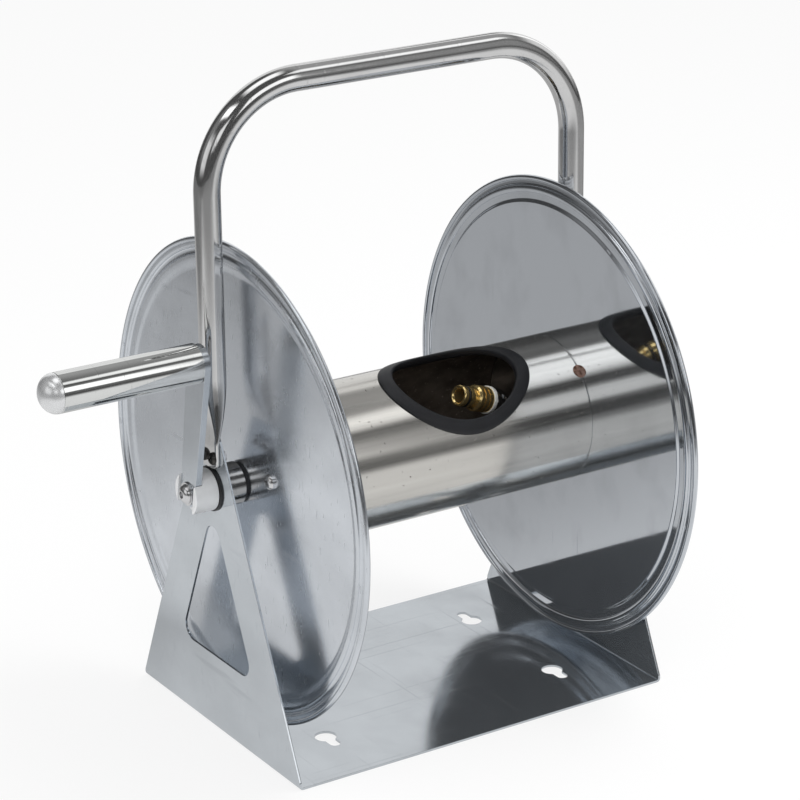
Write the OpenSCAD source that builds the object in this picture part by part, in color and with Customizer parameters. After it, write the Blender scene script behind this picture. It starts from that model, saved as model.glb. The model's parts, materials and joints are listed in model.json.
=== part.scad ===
// Hand-cranked hose reel: a folded sheet stand, a flanged drum on a through
// shaft, a swivel water inlet on the right and a crank with a turning grip
// on the left. X runs along the shaft to the right, Y to the back, Z up.
// The origin is the centre of the stand's underside.

/* [Stand] */
// Width of the stand over its two side plates
base_w = 267; // [262:1:290]
// Depth of the stand, front to back
base_depth = 193; // [175:1:230]
// Thickness of the folded sheet
sheet_t = 1.5; // [1:0.1:2.5]
// Inside radius of the two folds
fold_r = 1; // [0.5:0.1:3]
// Height of the shaft above the floor
axle_h = 160.8; // [156:0.2:190]
// Height of the rounded top of a side plate above the shaft
crown_rise = 40.2; // [38:0.2:44]
// Radius of the rounded top of a side plate
crown_r = 14; // [13:0.5:18]
// Height of the upright edge at the foot of a side plate
foot_h = 4; // [3:0.5:10]
// Width of the sheet left beside the window in a side plate
window_border = 29.5; // [26:0.5:34]
// Height of the window's lower edge above the floor
window_sill_h = 49.5; // [40:0.5:60]
// Corner radius of the window
window_r = 8.8; // [4:0.2:12]

/* [Keyholes in the base] */
// Distance from a side of the stand to a keyhole
key_inset = 48.5; // [30:0.5:80]
// Distance from the middle of the stand to a keyhole's round end, front to back
key_offset = 46; // [35:0.5:60]
// Diameter of a keyhole's round end
key_d = 13.5; // [9:0.5:16]
// Width of a keyhole's narrow end
key_slot_w = 7; // [4:0.5:8]
// Distance between the centres of a keyhole's two ends
key_run = 11; // [9:0.5:16]

/* [Carry handle] */
// Diameter of the handle tube
tube_d = 16; // [12:0.5:18]
// Wall of the handle tube
tube_wall = 1.5; // [1:0.1:2.5]
// Height of the middle of the handle's top bar above the floor
handle_h = 402.8; // [370:1:440]
// Radius of the handle's two bends, at the middle of the tube
handle_bend_r = 61; // [40:1:80]
// Height above the shaft where the tube starts to flatten
crimp_top_rise = 61; // [55:1:70]
// Height above the shaft where the tube is flat
crimp_end_rise = 33; // [31:1:36]
// Height of the flat end's lower edge above the shaft
tab_low_rise = 15.4; // [15:0.2:17]
// Width of the flat end
tab_w = 25; // [22:0.5:28]
// Thickness of the flat end
tab_t = 2.6; // [2:0.1:3.5]
// Diameter of the screws that hold the handle
tab_screw_d = 4; // [3:0.5:4.5]
// Distance between the two screws of one flat end
tab_screw_pitch = 10; // [9:0.5:12]
// Distance of the screw pair in front of the handle's middle
tab_screw_shift = 3.5; // [0:0.5:4]
// Height of the screws above the shaft
tab_screw_rise = 22.2; // [21:0.1:24]

/* [Flanges] */
// Diameter of the two flanges
flange_d = 300; // [270:2:306]
// Distance between the flat webs of the two flanges
flange_gap = 227.6; // [215:0.2:229]
// Thickness of the flange sheet
flange_t = 1; // [0.8:0.1:1.4]
// Width of the pressed ring that runs round the rim
rim_w = 16.5; // [15:0.5:20]
// Depth of the pressed step between the web and the ring
rim_step = 1.2; // [0.8:0.1:1.5]
// Radius of the rolled edge
curl_r = 1.7; // [1.2:0.1:2]
// Radius at which the three flange screws stand
flange_screw_at = 41.5; // [36:0.5:41.5]
// Diameter of the flange screws
flange_screw_d = 5; // [4:0.5:5]
// Angle of the first flange screw above the front
flange_screw_turn = 18; // [0:1:119]

/* [Drum] */
// Outer diameter of the drum
drum_d = 95; // [90:1:120]
// Wall of the drum
drum_wall = 1.2; // [1:0.1:2]
// Thickness of the plates that close the drum's ends
cap_t = 4; // [3:0.5:6]
// Length of the skirt by which an end plate sits in the drum
cap_skirt = 14; // [12:1:18]
// Diameter of the spots where the drum's ends are welded to the end plates
spot_d = 9; // [6:0.5:10]
// Angle of the first weld spot above the front
spot_turn = 46; // [0:1:119]

/* [Opening in the drum] */
// Distance of the opening's middle to the right of the drum's middle
opening_x = 30; // [20:1:36]
// Angle by which the opening leans from the top towards the front
opening_lean = 22; // [0:1:45]
// Half length of the hole in the drum, along the shaft
opening_a = 44.5; // [40:0.5:47]
// Half width of the hole in the drum, across the shaft
opening_b = 33.5; // [28:0.5:34]
// Reach of the rubber edging over the drum at the hole's ends
edging_reach_a = 7; // [4:0.5:8]
// Reach of the rubber edging over the drum at the hole's sides
edging_reach_b = 3.5; // [3:0.5:6]
// Thickness of the rubber at the bottom of its groove
edging_web = 3; // [2:0.1:3.5]
// Thickness of the rubber lips over and under the drum's wall
edging_lip = 2; // [1.5:0.1:2.5]

/* [Shafts and bearings] */
// Diameter of the crank shaft
crank_shaft_d = 12; // [10:0.5:13]
// Diameter of the hollow water shaft
water_shaft_d = 16; // [15:0.5:16.5]
// Bore of the hollow water shaft
water_bore = 9.2; // [8:0.2:10]
// Radial clearance of a turning shaft in its bearing
running = 0.05; // [0.03:0.01:0.08]
// Gap between faces that turn against each other
end_play = 0.2; // [0.1:0.05:0.3]
// Outer diameter of the left bearing's housing
housing_d = 26; // [24:0.5:28]
// Diameter of the left bearing's collar outside the side plate
collar_d = 28; // [26:0.5:28]
// Thickness of the left bearing's collar
collar_t = 1.3; // [1:0.1:2]
// Thickness of the washers between the flanges and the bearings
thrust_t = 1.2; // [1:0.1:2]
// Diameter of the washers between the flanges and the bearings
thrust_d = 24; // [20:0.5:25]

/* [Swivel inlet] */
// Outer diameter of the swivel's sleeve
swivel_d = 24; // [23:0.5:25]
// Width over the flats of the swivel's hexagon
swivel_hex = 30; // [28:0.5:30]
// Thickness of the swivel's hexagon
swivel_hex_t = 10; // [8:0.5:14]
// Length of the swivel's nose beyond its hexagon
swivel_nose = 10; // [9:0.5:14]
// Thickness of the swivel's nut
swivel_nut_t = 6; // [5:0.5:7]

/* [Hose nipples] */
// Diameter of a nipple's nose
nose_d = 13.4; // [12.8:0.1:14]
// Bore of a nipple
nipple_bore = 8.8; // [6:0.2:9]
// Diameter of a nipple's collar
nipple_collar_d = 16.6; // [16:0.2:18]
// Length of a nipple's collar
nipple_collar_len = 12; // [9:0.5:14]
// Length of a nipple's nose and latch groove
nose_len = 12.4; // [11:0.2:14]
// Distance of the outlet elbow's first bend to the right of the drum's middle
elbow_x = 84.3; // [80:0.1:86]
// Distance of the outlet elbow's second bend from the shaft
elbow_rise = 16.8; // [14:0.1:18]
// Angle of the outlet nipple to the shaft
outlet_tilt = 22; // [12:1:30]

/* [Crank] */
// Distance from the shaft to the grip
crank_r = 88.5; // [70:0.5:120]
// Lean of the crank towards the front, as it stands
crank_lean = 10.4; // [-20:0.2:20]
// Diameter of the crank hub
hub_d = 26; // [25:0.5:30]
// Length of the crank hub
hub_len = 16; // [14:0.5:22]
// Thickness of the crank arm
arm_t = 4; // [3:0.1:5]
// Width of the crank arm at the shaft
arm_w_low = 16.8; // [15:0.2:18]
// Width of the crank arm at the grip
arm_w_high = 22; // [18:0.5:24]
// Depth by which the hub's slot is deeper than the arm
slot_lip = 1.6; // [0.5:0.1:2.5]
// Diameter of the crank bolt's head
bolt_head_d = 12; // [10:0.5:13]

/* [Grip] */
// Outer diameter of the grip
grip_d = 24; // [20:0.5:28]
// Wall of the grip's sleeve
grip_wall = 1.5; // [1:0.1:2]
// Length of the grip's sleeve
grip_len = 90; // [70:1:110]
// Height of the grip's domed end
dome_h = 10.5; // [8:0.5:14]
// Diameter of the grip's spindle
spindle_d = 8; // [6:0.5:10]

/* [Hidden] */
$fn = 96;

// Clearance of a piece that is fixed in its seat
snug = 0.03;
// Clearance of a screw in a plain hole
screw_play = 0.2;
// Overrun of a cut past the face that it goes through
over = 1;

// Half the stand's width outside and inside its side plates
plate_out = base_w / 2;
plate_in = plate_out - sheet_t;
// Distance of a flange's inner and outer face from the drum's middle
web_in = flange_gap / 2;
web_out = web_in + flange_t;
flange_r = flange_d / 2;
drum_r = drum_d / 2;
drum_in_r = drum_r - drum_wall;
// Outer end of the washers and inner end of the bearings
thrust_end = web_out + thrust_t;
bearing_end = thrust_end + end_play;

// The side plate's sloping edge, tangent to its crown
crown_h = axle_h + crown_rise - crown_r;
foot_to_crown = norm([base_depth / 2, crown_h - foot_h]);
edge_lean = atan(base_depth / 2 / (crown_h - foot_h)) - asin(crown_r / foot_to_crown);
edge_apex_h = foot_h + base_depth / 2 / tan(edge_lean);
window_apex_h = edge_apex_h - window_border / sin(edge_lean);
window_half_w = (window_apex_h - window_sill_h) * tan(edge_lean);
foot_r = 5;

tube_r = tube_d / 2;
// The tube stands this far out past the flat end's outer face
leg_overhang = 1.4;
leg_x = plate_out + tab_t - tube_r + leg_overhang;
bend_mid_h = handle_h - handle_bend_r;
crimp_slice = 0.2;

bush_wall = 1.4;
bush_r = crank_shaft_d / 2 + bush_wall;
crank_shaft_end = 11;
boss_len = 9;

seal_r = 1.3;
seal_groove_w = 3.2;
tab_r = 5;

hub_start = plate_out + collar_t + end_play;
hub_end = hub_start + hub_len;
arm_in = hub_end - slot_lip - arm_t;
arm_out = arm_in + arm_t;
slot_half_w = arm_w_low / 2 + (arm_w_high - arm_w_low) / 2 * hub_d / 2 / crank_r + 0.2;
washer_t = 1.2;
bolt_d = 6;
grip_gap = 0.3;
grip_start = arm_out + grip_gap;
grip_end = grip_start + grip_len;
grip_bush_len = 8;
grip_bush_inset = 16;
clip_t = 1;

swivel_bore_end = plate_out + swivel_hex_t - 2;
swivel_end = plate_out + swivel_hex_t + swivel_nose;
water_shaft_in = elbow_x + 7;
seal_t = 2.6;
thread_d = 12.6;
thread_len = 7;
// A nipple's thread stops short of its socket's floor
socket_len = thread_len - seal_t + 0.6;
elbow_wall = 2.3;
elbow_r = thread_d / 2 + elbow_wall;
elbow_leg = 6;
elbow_socket = 6;
socket_wall = 2.6;
groove_r = nose_d / 2 - 1.6;
o_ring_r = 0.85;

// Pan head screws: a head is this share of the shank's diameter
head_share = 1.9;
head_h_share = 0.62;
nut_share = 1.75;

function turn2(p, a) = [p[0] * cos(a) - p[1] * sin(a), p[0] * sin(a) + p[1] * cos(a)];

// The arc that rounds corner b between its neighbours a and c
function corner_arc(a, b, c, r, steps) =
    r <= 0 ? [b] :
    let (u = (a - b) / norm(a - b), v = (c - b) / norm(c - b),
         half = acos(u * v) / 2,
         centre = b + (u + v) / norm(u + v) * r / sin(half),
         start = b + u * r / tan(half) - centre,
         end = b + v * r / tan(half) - centre,
         side = sign(start[0] * end[1] - start[1] * end[0]))
    [for (i = [0:steps]) centre + turn2(start, side * (180 - 2 * half) * i / steps)];

// A polygon with each corner rounded to its own radius
function rounded(points, radii, steps = 6) =
    let (n = len(points))
    [for (i = [0:n - 1])
        each corner_arc(points[(i + n - 1) % n], points[i], points[(i + 1) % n], radii[i], steps)];

function ellipse(a, b, steps = 56) = [for (i = [0:steps - 1]) [a * cos(i * 360 / steps), b * sin(i * 360 / steps)]];

// A turned piece along X from a list of [x, radius]
module turned(profile) {
    rotate([0, 90, 0]) rotate_extrude() polygon([for (p = profile) [p[1], p[0]]]);
}

module rod(x0, x1, r) {
    translate([x0, 0, 0]) rotate([0, 90, 0]) cylinder(r = r, h = x1 - x0);
}

module tube(x0, x1, r_out, r_in) {
    difference() {
        rod(x0, x1, r_out);
        rod(x0 - over, x1 + over, r_in);
    }
}

module hex_bar(x0, x1, flats) {
    translate([x0, 0, 0]) rotate([30, 0, 0]) rotate([0, 90, 0]) cylinder(d = flats / cos(30), h = x1 - x0, $fn = 6);
}

module on_axle() {
    translate([0, 0, axle_h]) children();
}

// Pieces of the left side are drawn on the right and mirrored
module left_side() {
    mirror([1, 0, 0]) children();
}

module both_sides() {
    children();
    left_side() children();
}

// Three places round the shaft, the first at an angle above the front
module three_round(radius, first) {
    for (i = [0:2]) rotate([-(first + 120 * i), 0, 0]) translate([0, -radius, 0]) children();
}

// The crank's own frame: its arm points up along Z
module in_crank() {
    on_axle() rotate([crank_lean, 0, 0]) left_side() children();
}

module on_grip() {
    in_crank() translate([0, 0, crank_r]) children();
}

// The opening's own frame: Z points out through the middle of the opening
module in_opening() {
    on_axle() rotate([opening_lean, 0, 0]) children();
}

// A pan head with a cross recess, its seat at x = 0 and its top outwards
module pan_screw(d, shank) {
    head_r = d * head_share / 2;
    head_h = d * head_h_share;
    slot_w = d * 0.22;
    difference() {
        union() {
            turned([[0, 0], [0, head_r], [head_h * 0.45, head_r], [head_h * 0.8, head_r * 0.82],
                [head_h, head_r * 0.5], [head_h, 0]]);
            rod(-shank, 0, d / 2);
        }
        for (a = [0, 90]) rotate([a + 45, 0, 0])
            translate([head_h * 0.45, -head_r * 0.6, -slot_w / 2]) cube([head_h, head_r * 1.2, slot_w]);
    }
}

module nut(d, x0) {
    difference() {
        hex_bar(x0, x0 + d * 0.8, d * nut_share);
        rod(x0 - over, x0 + d * 0.8 + over, d / 2 + snug);
    }
}

// A male quick-connect nipple along X: thread below 0, then collar, latch groove and nose
module nipple() {
    collar = nipple_collar_d / 2;
    nose = nose_d / 2;
    latch = nipple_collar_len + 3;
    tip = nipple_collar_len + nose_len;
    difference() {
        turned([[-thread_len, 0], [-thread_len, thread_d / 2 - 0.6], [-thread_len + 0.6, thread_d / 2],
            [0, thread_d / 2], [0, collar - 0.5], [0.5, collar],
            [nipple_collar_len * 0.28, collar], [nipple_collar_len * 0.28, collar - 0.8],
            [nipple_collar_len * 0.36, collar - 0.8], [nipple_collar_len * 0.36, collar],
            [nipple_collar_len * 0.6, collar], [nipple_collar_len * 0.6, collar - 0.8],
            [nipple_collar_len * 0.68, collar - 0.8], [nipple_collar_len * 0.68, collar],
            [nipple_collar_len - 1.2, collar], [nipple_collar_len, collar - 1.2],
            [nipple_collar_len, groove_r + 0.4], [latch, groove_r + 0.4], [latch + 0.6, nose],
            [tip - 6.2, nose], [tip - 6.2, groove_r], [tip - 3.4, groove_r], [tip - 3.4, nose],
            [tip - 0.6, nose], [tip, nose - 0.6], [tip, 0]]);
        rod(-thread_len - over, tip + over, nipple_bore / 2);
        turned([[tip - 1, 0], [tip - 1, nipple_bore / 2], [tip + 0.1, nipple_bore / 2 + 1.1], [tip + 0.1, 0]]);
    }
}

module nipple_o_ring() {
    mid = nipple_collar_len + nose_len - 4.8;
    rotate([0, 90, 0]) rotate_extrude() translate([groove_r + o_ring_r + snug, mid]) circle(r = o_ring_r, $fn = 32);
}

module thread_seal() {
    tube(-seal_t, 0, nipple_collar_d / 2 + 0.6, thread_d / 2 + snug);
}

// Puts the inlet nipple's base on the swivel's nose, with its seal between
module at_inlet() {
    on_axle() translate([swivel_end + seal_t, 0, 0]) children();
}

// Puts the outlet nipple's base on the elbow's mouth, with its seal between
module at_outlet() {
    in_opening() translate([elbow_x - elbow_rise, 0, elbow_rise])
        rotate([0, outlet_tilt - 180, 0]) translate([elbow_leg + seal_t, 0, 0]) children();
}

// Stand: one sheet folded up at both sides
module stand_section() {
    top = crown_h + crown_r + over;
    points = [[-plate_out, 0], [plate_out, 0], [plate_out, top], [plate_in, top],
        [plate_in, sheet_t], [-plate_in, sheet_t], [-plate_in, top], [-plate_out, top]];
    polygon(rounded(points, [fold_r + sheet_t, fold_r + sheet_t, 0, 0, fold_r, fold_r, 0, 0]));
}

module stand_side() {
    half = base_depth / 2;
    polygon(rounded([[-half, -over], [-half, foot_h], [0, edge_apex_h], [half, foot_h], [half, -over]],
        [0, foot_r, crown_r, foot_r, 0], 10));
}

module window() {
    polygon(rounded([[-window_half_w, window_sill_h], [0, window_apex_h], [window_half_w, window_sill_h]],
        [window_r, window_r, window_r], 8));
}

module keyhole() {
    translate([0, 0, -over]) {
        cylinder(d = key_d, h = sheet_t + 2 * over);
        translate([0, key_run, 0]) cylinder(d = key_slot_w, h = sheet_t + 2 * over);
        translate([-key_slot_w / 2, 0, 0]) cube([key_slot_w, key_run, sheet_t + 2 * over]);
    }
}

// Extrudes a drawing of [y, z] through both side plates
module through_sides() {
    translate([-plate_out - over, 0, 0]) rotate([90, 0, 90]) linear_extrude(height = base_w + 2 * over) children();
}

module stand() {
    color([0.74, 0.77, 0.8]) difference() {
        intersection() {
            translate([0, base_depth / 2, 0]) rotate([90, 0, 0]) linear_extrude(height = base_depth) stand_section();
            through_sides() stand_side();
        }
        through_sides() window();
        for (sx = [-1, 1]) for (sy = [-1, 1])
            translate([sx * (plate_out - key_inset), sy * key_offset, 0]) mirror([0, sy < 0 ? 1 : 0, 0]) keyhole();
        on_axle() left_side() rod(plate_in - over, plate_out + over, bush_r + 1.5 + snug);
        on_axle() rod(plate_in - over, plate_out + over, swivel_d / 2 + snug);
        both_sides() at_tab_screws() rod(-sheet_t - over, over, tab_screw_d / 2 + screw_play);
    }
}

// The two screws of a flat end, their seats on the side plate's outer face
module at_tab_screws() {
    for (s = [-1, 1]) translate([plate_out, s * tab_screw_pitch / 2 - tab_screw_shift, axle_h + tab_screw_rise]) children();
}

// Carry handle: one tube bent to an arch, crimped flat at both ends
module handle_solid(r) {
    translate([-leg_x + handle_bend_r, 0, handle_h]) rotate([0, 90, 0]) cylinder(r = r, h = 2 * (leg_x - handle_bend_r));
    both_sides() {
        translate([leg_x, 0, axle_h + crimp_top_rise]) cylinder(r = r, h = bend_mid_h - axle_h - crimp_top_rise);
        translate([leg_x - handle_bend_r, 0, bend_mid_h]) rotate([90, 0, 0])
            rotate_extrude(angle = 90) translate([handle_bend_r, 0]) circle(r = r, $fn = 64);
    }
}

module crimp_slice_at(rise, w, t) {
    translate([plate_out + t / 2, 0, axle_h + rise]) cube([t, w, crimp_slice], center = true);
}

module crimp() {
    mid_rise = crown_rise + 2;
    mid_t = tab_t + 2.2;
    hull() {
        translate([leg_x, 0, axle_h + crimp_top_rise]) cylinder(r = tube_r, h = crimp_slice, $fn = 32);
        crimp_slice_at(mid_rise, tab_w - 3, mid_t);
    }
    hull() {
        crimp_slice_at(mid_rise, tab_w - 3, mid_t);
        crimp_slice_at(crimp_end_rise, tab_w, tab_t);
    }
}

module carry_handle() {
    color([0.72, 0.71, 0.69]) difference() {
        union() {
            difference() {
                handle_solid(tube_r);
                handle_solid(tube_r - tube_wall);
            }
            both_sides() {
                crimp();
                translate([plate_out, 0, axle_h]) rotate([90, 0, 90]) linear_extrude(height = tab_t)
                    polygon(rounded([[-tab_w / 2, crimp_end_rise], [-tab_w / 2, tab_low_rise],
                        [tab_w / 2, tab_low_rise], [tab_w / 2, crimp_end_rise]], [0, tab_r, tab_r, 0]));
            }
        }
        both_sides() at_tab_screws() rod(-over, tab_t + over, tab_screw_d / 2 + screw_play);
    }
}

module handle_screws() {
    color([0.22, 0.21, 0.2]) both_sides() at_tab_screws()
        translate([tab_t, 0, 0]) pan_screw(tab_screw_d, tab_t + sheet_t + tab_screw_d);
}

module handle_nuts() {
    color([0.6, 0.6, 0.6]) both_sides() at_tab_screws() nut(tab_screw_d, -sheet_t - tab_screw_d * 0.8);
}

// Left bearing: a turned housing on the side plate, with a flanged black bush
module left_bearing_housing() {
    color([0.78, 0.78, 0.77]) on_axle() left_side() difference() {
        union() {
            rod(bearing_end, plate_in, housing_d / 2);
            rod(bearing_end, plate_out, bush_r + 1.5);
        }
        rod(bearing_end - over, plate_out + over, bush_r + snug);
    }
}

module left_bearing_bush() {
    color([0.08, 0.08, 0.09]) on_axle() left_side() difference() {
        union() {
            rod(bearing_end, plate_out, bush_r);
            rod(plate_out, plate_out + collar_t, collar_d / 2);
        }
        rod(bearing_end - over, plate_out + collar_t + over, crank_shaft_d / 2 + running);
    }
}

module left_thrust_washer() {
    color([0.12, 0.12, 0.13]) on_axle() left_side()
        tube(web_out, thrust_end, thrust_d / 2, crank_shaft_d / 2 + snug);
}

module right_thrust_washer() {
    color([0.12, 0.12, 0.13]) on_axle()
        tube(web_out, thrust_end, thrust_d / 2, water_shaft_d / 2 + snug);
}

// Swivel inlet: a brass sleeve in the right side plate, in which the water shaft turns
module seal_places() {
    for (x = [plate_in - 4, plate_out + 3]) translate([x, 0, 0]) children();
}

module swivel_body() {
    color([0.78, 0.6, 0.28]) on_axle() difference() {
        union() {
            rod(bearing_end, plate_out, swivel_d / 2);
            hex_bar(plate_out, plate_out + swivel_hex_t, swivel_hex);
            rod(plate_out + swivel_hex_t, swivel_end, swivel_d / 2 - 1);
        }
        rod(bearing_end - over, swivel_bore_end, water_shaft_d / 2 + running);
        rod(swivel_bore_end - over, swivel_end + over, water_bore / 2);
        rod(swivel_end - socket_len, swivel_end + over, thread_d / 2 + snug);
        seal_places() rod(-seal_groove_w / 2, seal_groove_w / 2, water_shaft_d / 2 + running + 2 * seal_r + 0.1);
    }
}

module swivel_seals() {
    color([0.07, 0.07, 0.07]) on_axle() seal_places() rotate([0, 90, 0]) rotate_extrude()
        translate([water_shaft_d / 2 + running + seal_r + 0.03, 0]) circle(r = seal_r, $fn = 32);
}

module swivel_washer() {
    color([0.75, 0.75, 0.75]) on_axle() tube(plate_in - 1.2, plate_in, swivel_d / 2 + 4, swivel_d / 2 + snug);
}

module swivel_locknut() {
    nut_end = plate_in - 1.2;
    color([0.78, 0.6, 0.28]) on_axle() difference() {
        hex_bar(nut_end - swivel_nut_t, nut_end, swivel_hex);
        rod(nut_end - swivel_nut_t - over, nut_end + over, swivel_d / 2 + snug);
    }
}

module inlet_nipple() { color([0.8, 0.62, 0.28]) at_inlet() nipple(); }
module inlet_thread_seal() { color([0.9, 0.9, 0.88]) at_inlet() thread_seal(); }
module inlet_o_ring() { color([0.07, 0.07, 0.07]) at_inlet() nipple_o_ring(); }

// Drum: a thin tube between the flanges, with an oval opening towards the nipple
module opening_prism(a, b) {
    in_opening() translate([opening_x, 0, 0]) linear_extrude(height = drum_d) polygon(ellipse(a, b));
}

// Half spots at the drum's ends, right through its wall
module weld_spot_bars(d) {
    both_sides() translate([web_in, 0, 0]) three_round(0, spot_turn) rotate([90, 0, 0]) cylinder(d = d, h = drum_d);
}

module drum_tube() {
    color([0.66, 0.66, 0.65]) difference() {
        on_axle() tube(-web_in, web_in, drum_r, drum_in_r);
        opening_prism(opening_a, opening_b);
        on_axle() weld_spot_bars(spot_d + 2 * snug);
    }
}

module weld_spots() {
    color([0.45, 0.36, 0.3]) on_axle() intersection() {
        tube(-web_in, web_in, drum_r + 0.2, drum_in_r - snug);
        weld_spot_bars(spot_d);
    }
}

// Rubber edging: it grips the drum's wall all round the hole
module opening_edging() {
    color([0.13, 0.14, 0.15]) difference() {
        intersection() {
            on_axle() tube(-web_in, web_in, drum_r + edging_lip, drum_in_r - edging_lip);
            opening_prism(opening_a + edging_reach_a, opening_b + edging_reach_b);
        }
        opening_prism(opening_a - edging_web, opening_b - edging_web);
        difference() {
            on_axle() tube(-web_in, web_in, drum_r + snug, drum_in_r - snug);
            opening_prism(opening_a - snug, opening_b - snug);
        }
    }
}

// Flanges: pressed discs with a stepped ring, a raised bead and a rolled edge
module flange_profile(bore_r) {
    step_r = flange_r - rim_w;
    bead_mid = flange_r - 8.75;
    bead_half = 2.2;
    bead_h = 1.3;
    curl_mid = rim_step + 1.3;
    inner = concat([[bore_r, 0], [step_r, 0], [step_r + 1, rim_step], [bead_mid - bead_half - 0.3, rim_step]],
        [for (i = [0:6]) [bead_mid - bead_half * cos(i * 30), rim_step - bead_h * sin(i * 30)]],
        [[flange_r - 5.6, rim_step + 0.7], [flange_r - 4.2, rim_step + 0.8], [flange_r - curl_r, rim_step + 0.8]]);
    last = len(inner) - 1;
    outer = [for (i = [last:-1:0]) inner[i] + [0, flange_t]];
    polygon(concat(inner, outer));
    translate([flange_r - curl_r, curl_mid]) circle(r = curl_r, $fn = 24);
}

module flange(bore_r) {
    difference() {
        translate([web_in, 0, 0]) rotate([0, 90, 0]) rotate_extrude($fn = 180) flange_profile(bore_r);
        three_round(flange_screw_at, flange_screw_turn)
            rod(web_in - over, web_out + over, flange_screw_d / 2 + screw_play);
    }
}

module left_flange() {
    color([0.66, 0.7, 0.74]) on_axle() left_side() flange(crank_shaft_d / 2 + snug);
}

module right_flange() {
    color([0.62, 0.64, 0.67]) on_axle() flange(water_shaft_d / 2 + snug);
}

// End plates: they close the drum inside the flanges and carry the shafts
module end_plate(shaft_d) {
    cap_r = drum_in_r - snug;
    difference() {
        union() {
            rod(web_in - cap_t, web_in, cap_r);
            tube(web_in - cap_skirt, web_in - cap_t, cap_r, cap_r - drum_wall);
            rod(web_in - cap_t - boss_len, web_in - cap_t, shaft_d / 2 + 5);
        }
        rod(web_in - cap_t - boss_len - over, web_in + over, shaft_d / 2 + snug);
        three_round(flange_screw_at, flange_screw_turn)
            rod(web_in - cap_t - over, web_in + over, flange_screw_d / 2 + snug);
    }
}

module left_end_plate() { color([0.55, 0.56, 0.57]) on_axle() left_side() end_plate(crank_shaft_d); }
module right_end_plate() { color([0.55, 0.56, 0.57]) on_axle() end_plate(water_shaft_d); }

module flange_screws() {
    color([0.75, 0.75, 0.76]) on_axle() both_sides() three_round(flange_screw_at, flange_screw_turn)
        translate([web_out, 0, 0]) pan_screw(flange_screw_d, flange_t + cap_t + 1);
}

// Shafts
module crank_shaft() {
    color([0.7, 0.7, 0.71]) on_axle() left_side() difference() {
        rod(web_in - cap_t - crank_shaft_end, arm_in, crank_shaft_d / 2);
        rod(arm_in - 18, arm_in + over, bolt_d / 2 + snug);
    }
}

module water_shaft() {
    color([0.72, 0.72, 0.72]) on_axle()
        tube(water_shaft_in, swivel_bore_end - 2, water_shaft_d / 2, water_bore / 2);
}

// Outlet elbow: from the water shaft up to the nipple, with a ball at each of its two bends
module elbow_run(r, ball_r, overrun) {
    rod(elbow_x, water_shaft_in + elbow_socket + overrun, r);
    translate([elbow_x, 0, 0]) {
        sphere(r = ball_r);
        rotate([0, -45, 0]) cylinder(r = r, h = elbow_rise * sqrt(2));
    }
    translate([elbow_x - elbow_rise, 0, elbow_rise]) {
        sphere(r = ball_r);
        rotate([0, outlet_tilt - 90, 0]) cylinder(r = r, h = elbow_leg + overrun);
    }
}

module outlet_elbow() {
    color([0.7, 0.69, 0.66]) difference() {
        in_opening() union() {
            elbow_run(elbow_r, elbow_r + 0.4, 0);
            rod(elbow_x, water_shaft_in + elbow_socket, water_shaft_d / 2 + socket_wall);
        }
        in_opening() elbow_run(nipple_bore / 2, nipple_bore / 2 + 0.4, over);
        on_axle() rod(water_shaft_in, water_shaft_in + elbow_socket + over, water_shaft_d / 2 + snug);
        at_outlet() {
            rod(-seal_t - socket_len, over, thread_d / 2 + snug);
            rod(-seal_t, elbow_leg, elbow_r + over);
        }
    }
}

module outlet_nipple() { color([0.8, 0.62, 0.28]) at_outlet() nipple(); }
module outlet_thread_seal() { color([0.9, 0.9, 0.88]) at_outlet() thread_seal(); }
module outlet_o_ring() { color([0.07, 0.07, 0.07]) at_outlet() nipple_o_ring(); }

// Crank: a slotted hub, a flat tapered arm and its bolt
module crank_hub() {
    color([0.85, 0.86, 0.87]) in_crank() difference() {
        turned([[hub_start, 0], [hub_start, hub_d / 2 - 0.4], [hub_start + 0.4, hub_d / 2],
            [hub_end - 0.6, hub_d / 2], [hub_end, hub_d / 2 - 0.6], [hub_end, 0]]);
        rod(hub_start - over, hub_end + over, crank_shaft_d / 2 + snug);
        translate([arm_in, -slot_half_w, -hub_d]) cube([hub_len, 2 * slot_half_w, 2 * hub_d]);
        translate([hub_start + 5.5, 0, -hub_d]) cylinder(d = 5 + 2 * snug, h = hub_d);
    }
}

module hub_set_screw() {
    color([0.2, 0.2, 0.2]) in_crank() translate([hub_start + 5.5, 0, -hub_d / 2 + 0.6]) difference() {
        cylinder(d = 5, h = hub_d / 2 - 0.6 - crank_shaft_d / 2 - 0.1);
        translate([0, 0, -0.1]) cylinder(d = 2.9, h = 2.5, $fn = 6);
    }
}

// A flat bar between two round ends of different width, joined by their tangents
module tapered_bar(low_r, high_r, length, thickness) {
    lean = asin((high_r - low_r) / length);
    steps = 24;
    linear_extrude(height = thickness) polygon(concat(
        [for (i = [0:steps]) let (a = 90 + lean + (180 - 2 * lean) * i / steps) low_r * [cos(a), sin(a)]],
        [for (i = [0:steps]) let (a = -90 - lean + (180 + 2 * lean) * i / steps)
            [length, 0] + high_r * [cos(a), sin(a)]]));
}

module crank_arm() {
    color([0.72, 0.75, 0.78]) in_crank() difference() {
        translate([arm_in, 0, 0]) rotate([0, -90, 0]) mirror([0, 0, 1])
            tapered_bar(arm_w_low / 2, arm_w_high / 2, crank_r, arm_t);
        rod(arm_in - over, arm_out + over, bolt_d / 2 + screw_play);
        translate([0, 0, crank_r]) rod(arm_in - over, arm_out + over, spindle_d / 2 + snug);
    }
}

module crank_washer() {
    color([0.75, 0.75, 0.75]) in_crank() tube(arm_out, arm_out + washer_t, bolt_head_d / 2 + 1.2, bolt_d / 2 + screw_play);
}

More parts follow.
